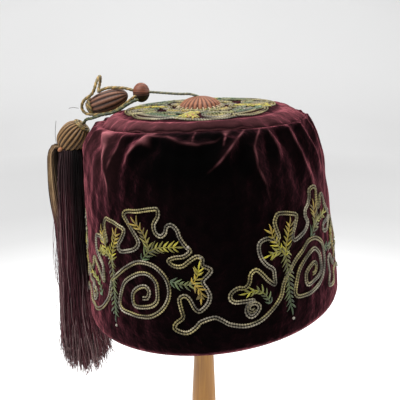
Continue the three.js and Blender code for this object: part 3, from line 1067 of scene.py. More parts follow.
    def tip_placed(self, azimuth: Array, radius: Array, level: Array) -> Array:
        """Finds where places on the tip are: its edge spreads at its sides and droops there and behind.

        Args:
            azimuth: Azimuth of each place.
            radius: Its radius in millimetres, on a round tip.
            level: Its height over the tip's edge in millimetres.

        Returns:
            The places in metres, one in each row.
        """
        around = np.radians(azimuth)
        wider, droop, behind = self.tip_slack(around)
        starts = (self.spread_from, self.droop_from, self.back_droop_from)
        spread, bend, slope = (np.maximum(0.0, (radius - at) / (self.tip_radius - at)) for at in starts)
        x, y = from_polar(around, radius + wider * spread**self.spread_power)
        z = level - droop * bend**2 - behind * slope**2
        return stood(np.stack([x, y, z], axis=1) * MM, self.tip_stance)

    def tip_crown(self, radius: Array) -> Array:
        """Gives the height of the tip's plain dome over its edge, in millimetres."""
        return self.tip_dome * (1.0 - (radius / self.tip_radius) ** self.tip_flatness)

    def tip_level(self, radius: Array) -> Array:
        """Works out the tip's top, with its padded border and the dimple under the button.

        Args:
            radius: The radius of each place in millimetres.

        Returns:
            The height over the tip's edge in millimetres.
        """
        border = 0.5 * (self.tip_border + self.tip_radius)
        padding = self.tip_padding * mound(radius, border, self.tip_padding_width)
        seam = self.tip_seam * mound(radius, self.tip_border, self.tip_seam_width)
        dimple = self.tip_dimple * mound(radius, 0.0, self.tip_dimple_width)
        return self.tip_crown(radius) + padding - seam - dimple

    def build_side(self, material: Material) -> None:
        """Makes the gathered wall, as one closed sheet of cloth.

        Args:
            material: The velvet.
        """
        share = np.linspace(0.0, 1.0, len(self._profile))
        above = float(share[np.argmax(self._profile[:, 1] > self.gathered_from)])
        plain = np.linspace(0.0, above, self.plain_rows, endpoint=False)
        outside = read_off(np.r_[plain, np.linspace(above, 1.0, self.gathered_rows)], share, self._profile)
        inward = self._profile + left_of(self._profile) * self.thickness
        inside = read_off(np.linspace(1.0, 0.0, self.inside_rows), share, inward)
        shape = spun(np.vstack([outside, inside, outside[:1]]) * MM, self.steps)
        flat = places(shape) / MM
        around, radius = polar(flat)
        azimuth, height = np.degrees(around), flat[:, 2]
        place, wear_and_highlight = self.placed(azimuth, radius, height)
        mesh = finished(shape, "crown_velvet", place)
        # Wear with painted highlights along the crests, and painted light on the left side
        paint(mesh, "wear_and_highlight", wear_and_highlight)
        # Painted shade between the gathers
        paint(mesh, "painted_shade", self.painted_shade(azimuth, height))
        piece = add_piece(mesh, material, Slot.VELVET, "crown_side")

    def build_tip(self, material: Material) -> None:
        """Makes the domed tip with its padded, slightly puckered border, as one closed sheet of cloth.

        Args:
            material: The velvet.
        """
        top_rows, edge_rows, under_rows = self.TIP_ROWS
        over = np.linspace(0.0, self.tip_radius - self.tip_over, top_rows)
        bend = np.radians(np.linspace(*self.TIP_BEND, edge_rows))
        edge = np.array([self.tip_radius - self.tip_edge, self.tip_edge_level])
        edge = edge + self.tip_edge * np.stack([np.cos(bend), np.sin(bend)], axis=1)
        under = np.linspace(self.tip_radius - self.tip_under, 0.0, under_rows)
        top = np.stack([over, self.tip_level(over)], axis=1)
        below = np.stack([under, self.tip_crown(under) - self.tip_thickness], axis=1)
        shape = spun(np.vstack([top, edge, below]) * MM, self.tip_steps)
        flat = places(shape) / MM
        around, radius = polar(flat)
        level = flat[:, 2]
        at_edge = smooth(radius, self.tip_radius - self.tip_wavers, self.tip_wavers)
        wavy = radius + at_edge * waves(around, self.WAVERS)
        puckered = level + waves(around, self.PUCKERS) * smooth(radius, self.tip_border, self.tip_puckers)
        mesh = finished(shape, "tip_velvet", self.tip_placed(np.degrees(around), wavy, puckered))
        # Wear with a painted highlight on the welt under the edge, and on the border, stronger towards the
        # left side
        wear_and_highlight, width, at, tall = self.WELT
        welt = wear_and_highlight * mound(radius, self.tip_radius, width) * mound(level, at, tall)
        wear_and_highlight, width, *rise = self.BAND
        left = np.maximum(0.0, -flat[:, 0]) / self.tip_radius
        band = wear_and_highlight * smooth(radius, self.tip_border, width) * smooth(level, *rise) * (1.0 + left)
        paint(mesh, "wear_and_highlight", np.maximum(welt, band))
        # Painted shade on the tip's middle, inside its border
        lit = smooth(radius, self.tip_border - self.tip_shade_ease, self.tip_shade_ease)
        paint(mesh, "painted_shade", self.tip_shade * (1.0 - lit))
        piece = add_piece(mesh, material, Slot.VELVET, "crown_tip")


@dataclass(frozen=True)
class Spray:
    """A fern stitched in floss: its stem on the chart, its leaves in millimetres and their dyes."""

    stem: Chart
    first: Colour
    last: Colour
    leaf: float = 6.2
    spacing: float = 3.0
    angle: float = 42.0
    knot: bool = False


YELLOW: Colour = (0.38, 0.345, 0.020)
GOLD: Colour = (0.33, 0.225, 0.022)
OLIVE: Colour = (0.17, 0.16, 0.030)
GREEN: Colour = (0.050, 0.092, 0.027)
SAGE: Colour = (0.085, 0.14, 0.060)
PALE: Colour = (0.30, 0.27, 0.22)
RUST: Colour = (0.20, 0.075, 0.03)


@dataclass(frozen=True)
class WallGround:
    """One repeat of the wall's ornament, as it lies flat in millimetres and on the cap."""

    crown: Crown
    anchor: float
    stretch: float
    degree: float = 1.55

    def flat(self, chart: Array) -> Array:
        """Lays charted azimuths and heights flat."""
        return chart * (self.stretch * self.degree, 1.0)

    def place(self, line: Array, proud: float) -> Array:
        """Finds a flat line on the cap, lifted off it by proud millimetres."""
        return self.crown.on_wall(line[:, 0] / self.degree + self.anchor, line[:, 1], proud)


@dataclass(frozen=True)
class TipGround:
    """One repeat of the tip's ornament, as it lies flat in millimetres and on the cap."""

    crown: Crown
    anchor: float
    narrow: float = 0.945

    def flat(self, chart: Array) -> Array:
        """Lays charted azimuths and radii flat."""
        x, y = from_polar(np.radians(chart[:, 0] + self.anchor), chart[:, 1])
        return np.stack([self.narrow * x, y], axis=1)

    def place(self, line: Array, proud: float) -> Array:
        """Finds a flat line on the cap, lifted off it by proud millimetres."""
        around, radius = polar(line)
        return self.crown.on_tip(np.degrees(around), radius, proud)


Ground = WallGround | TipGround


@dataclass
class Embroidery:
    """Couched scrolls and fern sprays on the wall and the tip of the cap."""

    crown: Crown
    cord_radius: float = 0.60
    cord_apart: float = 0.82
    cord_step: float = 0.45
    cord_proud: float = 0.75
    stitch: float = 1.7
    stitch_width: float = 0.78
    stitch_swell: float = 0.24
    stitch_shade: float = 0.30
    stitch_light: float = 0.64
    stitch_power: float = 1.4
    warm_every: float = 14.0
    faded: float = 0.68
    leaf_width: float = 0.66
    leaf_flat: float = 0.55
    leaf_rise: float = 0.55
    first_leaf: float = 0.8
    last_leaf: float = 1.5
    end_leaf: float = 0.8
    knot_gap: float = 0.6
    stem_radius: float = 0.42
    stem_proud: float = 0.35
    gilt: ThreadFinish = ThreadFinish("gilt_thread", 0.45, 0.25, 0.0)
    floss: ThreadFinish = ThreadFinish("silk_floss", 0.42, 0.0, 0.1)

    # A leaf's and a knot's width from foot to point
    LEAF: ClassVar[Sizes] = (0.45, 0.9, 1.0, 0.85, 0.55, 0.2)
    KNOT: ClassVar[Sizes] = (0.6, 0.95, 1.0, 0.75, 0.3)
    # Least and most of a leaf's length and light, and where a knot starts and ends over the cloth
    LEAF_LENGTHS: ClassVar[Pair] = (0.65, 1.15)
    LEAF_LIGHTS: ClassVar[Pair] = (0.3, 1.35)
    KNOT_RISE: ClassVar[Pair] = (-0.3, 1.0)
    # How strongly a cord fades and brightens, over what length, and its share of the seeded start
    FADES: ClassVar[Points] = ((0.24, 5.3, 2.0), (0.2, 2.1, 1.0))
    GREY_GILT: ClassVar[Colour] = (0.50, 0.45, 0.34)
    WARM_GILT: ClassVar[Colour] = (0.50, 0.42, 0.16)
    # Where each repeat of the wall's ornament stands, as azimuth
    ANCHORS: ClassVar[Sizes] = (-44.5, 32.5, 103.0, 174.0, 245.0)
    REPEAT: ClassVar[float] = 77.0
    # The wall's scroll, as azimuth from its anchor and height
    SCROLL_START: ClassVar[Chart] = (
        (-17.5, 25.5), (-19, 24.5), (-20.5, 26.5), (-19.5, 29), (-17, 29), (-15.5, 26), (-17.5, 22),
        (-20, 21.5), (-21.5, 25), (-20.5, 29), (-18, 31.5), (-22.5, 31.5), (-26, 32), (-28, 34.5),
        (-27.5, 38), (-24.5, 40.5), (-21.5, 40), (-19.5, 43), (-18.5, 48), (-16, 50), (-13.5, 47),
        (-10.5, 41.5), (-7.5, 38), (-7.5, 43), (-8, 48), (-11, 52), (-13.5, 58), (-14, 64), (-12.5, 67),
        (-8.5, 67.5), (-5.5, 65), (-3.5, 67), (-4.5, 72), (-5, 77), (-3, 81), (0.5, 80.5), (4.5, 79),
        (8, 76.5), (6.5, 71), (4, 66), (5, 62), (9.5, 63.5), (13.5, 66), (15, 70),
    )
    SCROLL_HORN: ClassVar[Chart] = (
        (13.5, 75), (10.5, 81), (8.5, 86), (10.5, 88.5), (16.5, 89.5), (22.5, 91), (25, 91), (25, 87),
        (23, 82), (23.5, 77),
    )
    SCROLL_HOOD: ClassVar[Chart] = (
        (13.5, 74), (14, 78), (17, 80.5), (19, 84), (19.8, 88.5), (22.5, 90), (24.8, 87.5), (24.8, 81),
    )
    HOOD_SPRAY: ClassVar[Spray] = Spray(
        ((16.5, 59.5), (19.5, 65), (20.5, 71), (21, 77)), GREEN, GOLD, 7.0, 2.8
    )
    SCROLL_END: ClassVar[Chart] = (
        (25.5, 75), (27.5, 77), (28.5, 81), (30.5, 82), (32.5, 79), (33.5, 74), (35.5, 69), (37, 66),
        (34.5, 63), (30.5, 62), (28, 60), (30, 57), (33.5, 57), (36.5, 60), (39.5, 62.5), (41.5, 61),
        (41.5, 57), (44.5, 54), (43.5, 51), (41, 47), (42.5, 42), (43.5, 38), (42.5, 33), (39.5, 28.5),
        (37.5, 30), (35.5, 36), (33.5, 38), (31.5, 36), (32, 30), (32.5, 25), (29.5, 21), (29, 18),
        (31.5, 16), (34.5, 16), (37.5, 19), (39.5, 22), (44.5, 24), (47.5, 22), (50.5, 19), (54.5, 17),
        (59.5, 16.5), (63.5, 18), (68.5, 23), (72.5, 29), (74, 36), (75.5, 41),
    )
    BIG_SPIRAL: ClassVar[Chart] = (
        (-1.5, 41), (2.5, 46), (7.5, 52), (13.5, 57), (18.5, 57.5), (23.5, 54), (26.5, 48), (27.5, 40),
        (26, 33), (22.5, 27), (17.5, 23.5), (11.5, 23), (5.5, 24), (3, 27), (3.5, 33), (6, 41), (9.5, 46),
        (14.5, 50), (18.5, 50.5), (22, 46), (22.5, 40), (22, 34), (19.5, 30.5), (15.5, 29), (11.5, 29),
        (10.5, 32), (11, 37), (14, 41), (17, 42), (18.5, 39), (17.5, 35), (15.5, 34.5),
    )
    WALL_SPRAYS: ClassVar[tuple[Spray, ...]] = (
        Spray(((-1, 58), (-0.5, 40), (0, 19)), OLIVE, GREEN, knot=True),
        Spray(((-1, 54), (0.5, 63), (3, 73)), YELLOW, GOLD),
        Spray(((-1, 56), (-5, 58), (-10, 57)), OLIVE, YELLOW, 5.8),
        Spray(((-3, 59), (-6, 66), (-7, 72)), YELLOW, GOLD, 5.6),
        Spray(((16.5, 59.5), (19.5, 66), (18, 75), (14.5, 82)), GREEN, GOLD),
        Spray(((19, 65), (25, 68), (32, 68.5)), OLIVE, YELLOW, knot=True),
        Spray(((28, 47), (34, 45), (38, 46)), SAGE, OLIVE, 5.4),
        Spray(((37, 46), (39, 50), (40, 56)), GOLD, YELLOW, 5.2, 2.6, knot=True),
        Spray(((38, 45), (40, 41), (40, 36)), GOLD, GOLD, 5.2, 2.6),
        Spray(((-10.5, 27), (-12.5, 33), (-16, 37), (-21.5, 36.5)), SAGE, YELLOW, 5.4),
    )
    HOOD_REPEAT: ClassVar[int] = 1
    HOOD_SPRAY_AT: ClassVar[int] = 4
    # The tip's ornament, as azimuth from its anchor and radius
    TIP_ANCHORS: ClassVar[Sizes] = (16.0, 106.0, 196.0, 286.0)
    TIP_CRESCENT: ClassVar[Chart] = (
        (12, 52), (22, 54), (33, 53.5), (44, 52), (54, 48), (60, 41), (58, 34), (49, 30), (40, 32.5),
        (38, 38), (43, 41), (48, 38),
    )
    TIP_LEAF: ClassVar[Chart] = ((-6, 24), (-20, 22), (-34, 24), (-40, 30), (-30, 30), (-16, 27), (-6, 24))
    TIP_LINE: ClassVar[Chart] = ((10, 48.6), (32, 47), (55, 49), (64, 52))
    TIP_RIM: ClassVar[Chart] = ((-26, 52.6), (-14, 53.4), (0, 53.4), (10, 52.8))
    TIP_INNER: ClassVar[Chart] = ((-6, 27), (2, 21.5), (15, 19), (28, 20), (38, 25), (30, 28), (16, 27))
    # The spiral's middle and reach on the tip, its turns and how far it tightens
    TIP_LOOP: ClassVar[Sizes] = (42.0, 11.5, 2.2, 0.72)
    LOOP_POINTS: ClassVar[int] = 40
    TIP_SPRAYS: ClassVar[tuple[Spray, ...]] = (
        Spray(((8, 44), (22, 38), (34, 34.5), (46, 34)), OLIVE, GREEN, 5.8, 2.0),
        Spray(((16, 44), (30, 43), (45, 45), (53, 44)), GREEN, SAGE, 5.0, 2.2),
        Spray(((-22, 24), (-28, 36), (-32, 47)), YELLOW, YELLOW, 6.8, 1.8, 38.0),
        Spray(((-20, 26), (-24, 36), (-22, 46)), GOLD, YELLOW, 6.4, 1.9, 38.0),
        Spray(((0, 22), (14, 24), (30, 23), (44, 21)), OLIVE, GOLD, 5.2, 2.2),
        Spray(((62, 36), (66, 43), (68, 50)), RUST, GOLD, 5.6, 2.0),
        Spray(((-14, 30), (-6, 36), (4, 40)), GREEN, OLIVE, 5.6, 2.2),
    )
    TIP_CHARTS: ClassVar[tuple[Chart, ...]] = (TIP_CRESCENT, TIP_LEAF, TIP_LINE, TIP_INNER, TIP_RIM)

    def __post_init__(self) -> None:
        """Starts the seeded unevenness of hand work."""
        self._chance = np.random.default_rng(SEED)

    def _couch(self, threads: Threads, ground: Ground, chart: Array) -> None:
        """Lays two gilt cords side by side along a charted line, drawn in by their stitches.

        Args:
            threads: What the cords are added to.
            ground: What the chart is drawn on.
            chart: The line.
        """
        grey, warm = np.array(self.GREY_GILT), np.array(self.WARM_GILT)
        for side in (-1, 1):
            line = drawn(ground.flat(chart), self.cord_step, side * self.cord_apart)
            path, base = ground.place(line, self.cord_radius * self.cord_proud), ground.place(line, 0.0)
            run = np.arange(len(path)) * self.cord_step
            start = self._chance.uniform(0, math.tau)
            warmth = 0.5 + 0.5 * np.sin(run / self.warm_every + start)
            plump = 0.5 + 0.5 * np.sin(math.tau * run / self.stitch + start)
            faded = self.faded + sum(size * np.sin(run / over + at * start) for size, over, at in self.FADES)
            light = faded * (self.stitch_shade + self.stitch_light * plump**self.stitch_power)
            dye = (grey + (warm - grey) * warmth[:, None]) * light[:, None]
            width = self.cord_radius * (self.stitch_width + self.stitch_swell * plump) * MM
            threads.add(path, width, dye, sides=6, outward=path - base)

    def _leaf(self, threads: Threads, foot: Array, end: Array, up: Array, dye: Array) -> None:
        """Stitches one plump leaf.

        Args:
            threads: What the leaf is added to.
            foot: Where it leaves the stem.
            end: Its point.
            up: The way the cloth faces.
            dye: Its colour.
        """
        count = len(self.LEAF)
        share = np.linspace(0.0, 1.0, count)[:, None]
        path = foot + (end - foot) * share + up * (np.sin(math.pi * share) * self.leaf_rise * MM)
        width = np.array(self.LEAF) * self.leaf_width * MM
        shade = dye * self._chance.uniform(*self.LEAF_LIGHTS)
        outward = np.repeat(up[None], count, axis=0)
        threads.add(path, width, shade, sides=6, outward=outward, flat=self.leaf_flat)

    def _spray(self, threads: Threads, ground: Ground, spray: Spray) -> None:
        """Stitches a fern: its stem, its pairs of leaves and the knot at its end.

        Args:
            threads: What the stitches are added to.
            ground: What the fern is charted on.
            spray: The fern.
        """
        line = drawn(ground.flat(np.array(spray.stem, float)), 1.0)
        path = ground.place(line, self.stem_proud)
        up = unit(ground.place(line, 1.0) - ground.place(line, 0.0))
        along = unit(np.gradient(path, axis=0))
        left = np.cross(up, along)
        count = len(path)
        first, last = np.array(spray.first), np.array(spray.last)
        dyes = first + (last - first) * np.linspace(0.0, 1.0, count)[:, None]
        threads.add(path, self.stem_radius * MM, dyes, sides=5, outward=up)
        lean = math.radians(spray.angle)
        spot = self.first_leaf
        while spot < count - self.last_leaf:
            at = int(spot)
            for side in (-1, 1):
                way = along[at] * math.cos(lean) + left[at] * side * math.sin(lean)
                length = spray.leaf * self._chance.uniform(*self.LEAF_LENGTHS) * MM
                self._leaf(threads, path[at], path[at] + way * length, up[at], dyes[at])
            spot += spray.spacing
        end = path[-1] + along[-1] * spray.leaf * self.end_leaf * MM
        self._leaf(threads, path[-2], end, up[-1], dyes[-1])
        if spray.knot:
            centre = path[-1] + along[-1] * (spray.leaf + self.knot_gap) * MM
            rise = np.linspace(*self.KNOT_RISE, len(self.KNOT))[:, None] * MM
            threads.add(centre + up[-1] * rise, np.array(self.KNOT) * MM, PALE, sides=6)

    def _tip_spiral(self, anchor: float) -> Array:
        """Charts the spiral of one repeat on the tip.

        Args:
            anchor: Where the repeat stands.

        Returns:
            Azimuth from the anchor and radius of each point.
        """
        level, loop, turns, tightens = self.TIP_LOOP
        spin = np.linspace(0.0, turns * math.tau, self.LOOP_POINTS)
        reach = loop * (1.0 - tightens * spin / spin[-1])
        middle = math.radians(anchor)
        x = level * math.sin(middle) + reach * np.cos(spin - middle)
        y = -level * math.cos(middle) + reach * np.sin(spin - middle)
        around, radius = polar(np.stack([x, y], axis=1))
        return np.stack([np.degrees(around) - anchor, radius], axis=1)

    def _repeat(
        self,
        scrolls: Threads,
        ferns: Threads,
        ground: Ground,
        charts: Iterable[Chart | Array],
        sprays: Iterable[Spray],
    ) -> None:
        """Stitches one repeat of an ornament.

        Args:
            scrolls: What its cords are added to.
            ferns: What its ferns are added to.
            ground: What it is drawn on.
            charts: Its lines.
            sprays: Its ferns.
        """
        for chart in charts:
            self._couch(scrolls, ground, np.array(chart, float))
        for spray in sprays:
            self._spray(ferns, ground, spray)

    def build(self) -> None:
        """Makes the scrolls and ferns of the wall, then those of the tip."""
        front, back, ferns, tip_scrolls, tip_ferns = (Threads() for _ in range(5))
        anchors = self.ANCHORS + (self.ANCHORS[0] + 360.0,)
        for index, anchor in enumerate(self.ANCHORS):
            ground = WallGround(self.crown, anchor, (anchors[index + 1] - anchor) / self.REPEAT)
            top, sprays = self.SCROLL_HORN, list(self.WALL_SPRAYS)
            if index == self.HOOD_REPEAT:
                top, sprays[self.HOOD_SPRAY_AT] = self.SCROLL_HOOD, self.HOOD_SPRAY
            charts = (self.SCROLL_START + top + self.SCROLL_END, self.BIG_SPIRAL)
            self._repeat(front if index <= self.HOOD_REPEAT else back, ferns, ground, charts, sprays)
        for anchor in self.TIP_ANCHORS:
            charts = (self._tip_spiral(anchor), *self.TIP_CHARTS)
            self._repeat(tip_scrolls, tip_ferns, TipGround(self.crown, anchor), charts, self.TIP_SPRAYS)
        gilt, floss = self.gilt.material(), self.floss.material()
        for name, threads, material in (
            ("wall_scrolls_front", front, gilt), ("wall_scrolls_back", back, gilt),
            ("wall_ferns", ferns, floss), ("tip_scrolls", tip_scrolls, gilt), ("tip_ferns", tip_ferns, floss),
        ):
            add_piece(threads.mesh(name), material, Slot.GILT_CORD)


@dataclass(frozen=True)
class WoundFinish:
    """Silk wound over a core in ribs, with fine cross threads: a painted highlight on each rib's crest and
    painted shade in the grooves.
    """

    name: str
    groove: Colour
    rib: Colour
    crest: Colour
    # How far up a rib each of the three colours lies: the groove colour is painted shade, the rib colour the
    # silk's own and the crest colour a painted highlight
    heights: Point = (0.05, 0.55, 0.95)
    thread: float = 2600.0
    thread_share: float = 0.3
    fibre: float = 3800.0
    patch: float = 260.0
    patch_contrast: float = 1.6
    dull: Colour = (0.55, 0.5, 0.48)
    roughness: float = 0.5
    specular: float = 0.25
    sheen_weight: float = 0.08
    sheen_roughness: float = 0.4
    relief: float = 0.0004
    relief_strength: float = 0.35

    def material(self) -> Material:
        """Builds the finish; it reads the vertex numbers 'rib' and 'along'.

        Returns:
            The material.
        """
        shader, made = Shader.material(self.name)
        place = shader.place()
        stops = tuple(zip(self.heights, (self.groove, self.rib, self.crest)))
        colour = shader.ramp(shader.stored("rib"), stops)
        windings = shader.math("SINE", shader.math("MULTIPLY", shader.stored("along"), self.thread))
        windings = shader.math("MULTIPLY", windings, self.thread_share)
        height = shader.math("ADD", windings, shader.nap(place, self.fibre))
        patches = shader.mottle(place, self.patch, self.patch_contrast)
        shader.surface(
            {
                "Base Color": shader.shaded(patches, colour, self.dull),
                "Roughness": self.roughness,
                "Specular IOR Level": self.specular,
                "Sheen Weight": self.sheen_weight,
                "Sheen Roughness": self.sheen_roughness,
                "Sheen Tint": self.crest,
                "Normal": shader.bump(height, self.relief_strength, self.relief),
            }
        )
        return made


@dataclass
class WoundBead:
    """A ribbed bead of wound silk lying between two points of the cord, in metres."""

    name: str
    node: str
    low: Point
    high: Point
    radius: float
    ribs: int
    finish: WoundFinish
    half: float = 0.0
    rings: int = 0
    blunt: float = 2.0
    depth: float = 0.12
    # Share of its half length below which the bead darkens with painted shade
    shade_below: float = -2.0
    rows: int = 40

    RIB_STEPS: ClassVar[int] = 10
    RIB_POWER: ClassVar[float] = 1.15
    RING_SWAY: ClassVar[float] = 0.35
    POLE: ClassVar[float] = 0.12
    SHADE_SPAN: ClassVar[float] = 0.8

    def __post_init__(self) -> None:
        """Works out half its length, where that isn't given."""
        self.half = self.half or (Vector(self.high) - Vector(self.low)).length / 2

    def reach(self, along: Array) -> Array:
        """Gives the bead's radius at shares of its half length from its middle."""
        return self.radius * np.sqrt(np.maximum(0.0, 1.0 - np.abs(along) ** self.blunt))

    def laid(self, flat: Array) -> Array:
        """Lays places along the bead's way between its points.

        Args:
            flat: The places, about +Z.

        Returns:
            The places on the cord.
        """
        low, high = Vector(self.low), Vector(self.high)
        way = (high - low).normalized().to_track_quat("Z", "Y").to_matrix()
        return flat @ np.array(way).T + np.array((low + high) / 2)

    def build(self) -> None:
        """Makes the bead, in place of its plain solid."""
        along = -np.cos(np.linspace(0.0, math.pi, self.rows + 1))
        shape = spun(zip(self.reach(along), self.half * along), self.ribs * self.RIB_STEPS)
        flat = places(shape)
        share = flat[:, 2] / self.half
        around, _ = polar(flat)
        swell = np.abs(np.cos(around * self.ribs / 2))
        if self.rings:
            sway = self.RING_SWAY * np.sin(around * 2)
            swell = np.abs(np.cos(share * self.rings * math.pi / 2 + sway))
        pole = smooth((1.0 - np.abs(share)) / self.POLE)
        flat[:, :2] *= (1.0 - self.depth * (1.0 - swell) * pole)[:, None]
        mesh = finished(shape, self.name, self.laid(flat))
        # Painted shade in the grooves and towards the bead's low end, a painted highlight on the crests
        paint(mesh, "rib", swell**self.RIB_POWER * smooth(share, self.shade_below, self.SHADE_SPAN))
        paint(mesh, "along", share * self.half)
        add_piece(mesh, self.finish.material(), Slot.RUST_SILK, self.node)


@dataclass
class TipButton:
    """The covered button in the middle of the tip, with its corded rim and the stitches that hold it."""

    crown: Crown
    radius: float = 14.5
    height: float = 8.5
    edge: float = 1.0
    under: float = 1.2
    lifted: float = 0.3
    rows: int = 24
    ribs: int = 24
    ribs_from: float = 0.6
    depth: float = 0.09
    plain_within: float = 0.5
    plain_light: float = 0.6
    rim_points: int = 181
    rim_radius: float = 0.9
    rim_out: float = 0.7
    rim_proud: float = 0.7
    rim_pitch: float = 3.2
    stitch_radius: float = 0.38
    # Its groove colour is painted shade and its crest colour a painted highlight
    finish: WoundFinish = WoundFinish(
        "button_silk", (0.036, 0.011, 0.005), (0.175, 0.059, 0.025), (0.29, 0.115, 0.057)
    )

    RIM_DYES: ClassVar[tuple[Colour, Colour]] = ((0.42, 0.34, 0.12), (0.16, 0.17, 0.06))
    STITCH_DYE: ClassVar[Colour] = (0.46, 0.38, 0.24)
    # How far a stitch is from the button's edge, and how proud of the tip
    STITCH: ClassVar[Chart] = ((-0.9, 2.2), (0.4, 2.0), (1.6, 1.2), (2.6, 0.2))

    def build(self, gilt: Material) -> None:
        """Makes the button and its rim.

        Args:
            gilt: The finish of the rim's cord.
        """
        turn = np.linspace(0.0, math.pi / 2, self.rows)
        radii = np.r_[0.0, self.radius - self.under, self.radius * np.cos(turn)]
        heights = np.r_[0.0, 0.0, self.edge + (self.height - self.edge) * np.sin(turn)]
        radii[-1] = 0.0
        shape = spun(zip(radii * MM, heights * MM), self.ribs * WoundBead.RIB_STEPS)
        flat = places(shape)
        around, spread = polar(flat)
        spread = spread / (self.radius * MM)
        swell = np.abs(np.cos(around * self.ribs / 2))
        flat[:, :2] *= (1.0 - self.depth * (1.0 - swell) * smooth(spread / self.ribs_from))[:, None]
        flat[:, 2] += (self.crown.tip_dome + self.lifted - self.crown.tip_dimple) * MM
        mesh = finished(shape, "button_silk", stood(flat, self.crown.tip_stance))
        outer = smooth(spread / self.plain_within)
        # Painted shade in the grooves and a painted highlight on the crests, round the plain middle
        paint(mesh, "rib", swell * outer + self.plain_light * (1.0 - outer))
        paint(mesh, "along", spread * self.radius * MM)
        add_piece(mesh, self.finish.material(), Slot.RUST_SILK, "tip_button")
        rim = Threads()
        circle = np.linspace(0.0, 360.0, self.rim_points)
        out = np.full(self.rim_points, self.radius + self.rim_out)
        path = self.crown.on_tip(circle, out, self.rim_proud)
        first, second = self.RIM_DYES
        rim.add(path, self.rim_radius * MM, first, sides=8, second_dye=second, pitch=self.rim_pitch * MM)
        away, proud = np.array(self.STITCH).T
        for groove in (np.arange(self.ribs) + 0.5) * 360.0 / self.ribs:
            stitch = self.crown.on_tip(np.full(len(away), groove), self.radius + away, proud)
            rim.add(stitch, self.stitch_radius * MM, self.STITCH_DYE, sides=5)
        add_piece(rim.mesh("button_rim"), gilt, Slot.GILT_CORD)


@dataclass(frozen=True)
class CordRoute:
    """A free cord: its way in metres, its thickness, its dyes and the plain solid that it stands for."""

    name: str
    node: str
    diameter: float
    first_dye: Colour
    second_dye: Colour
    lay: Lay
    points: Points


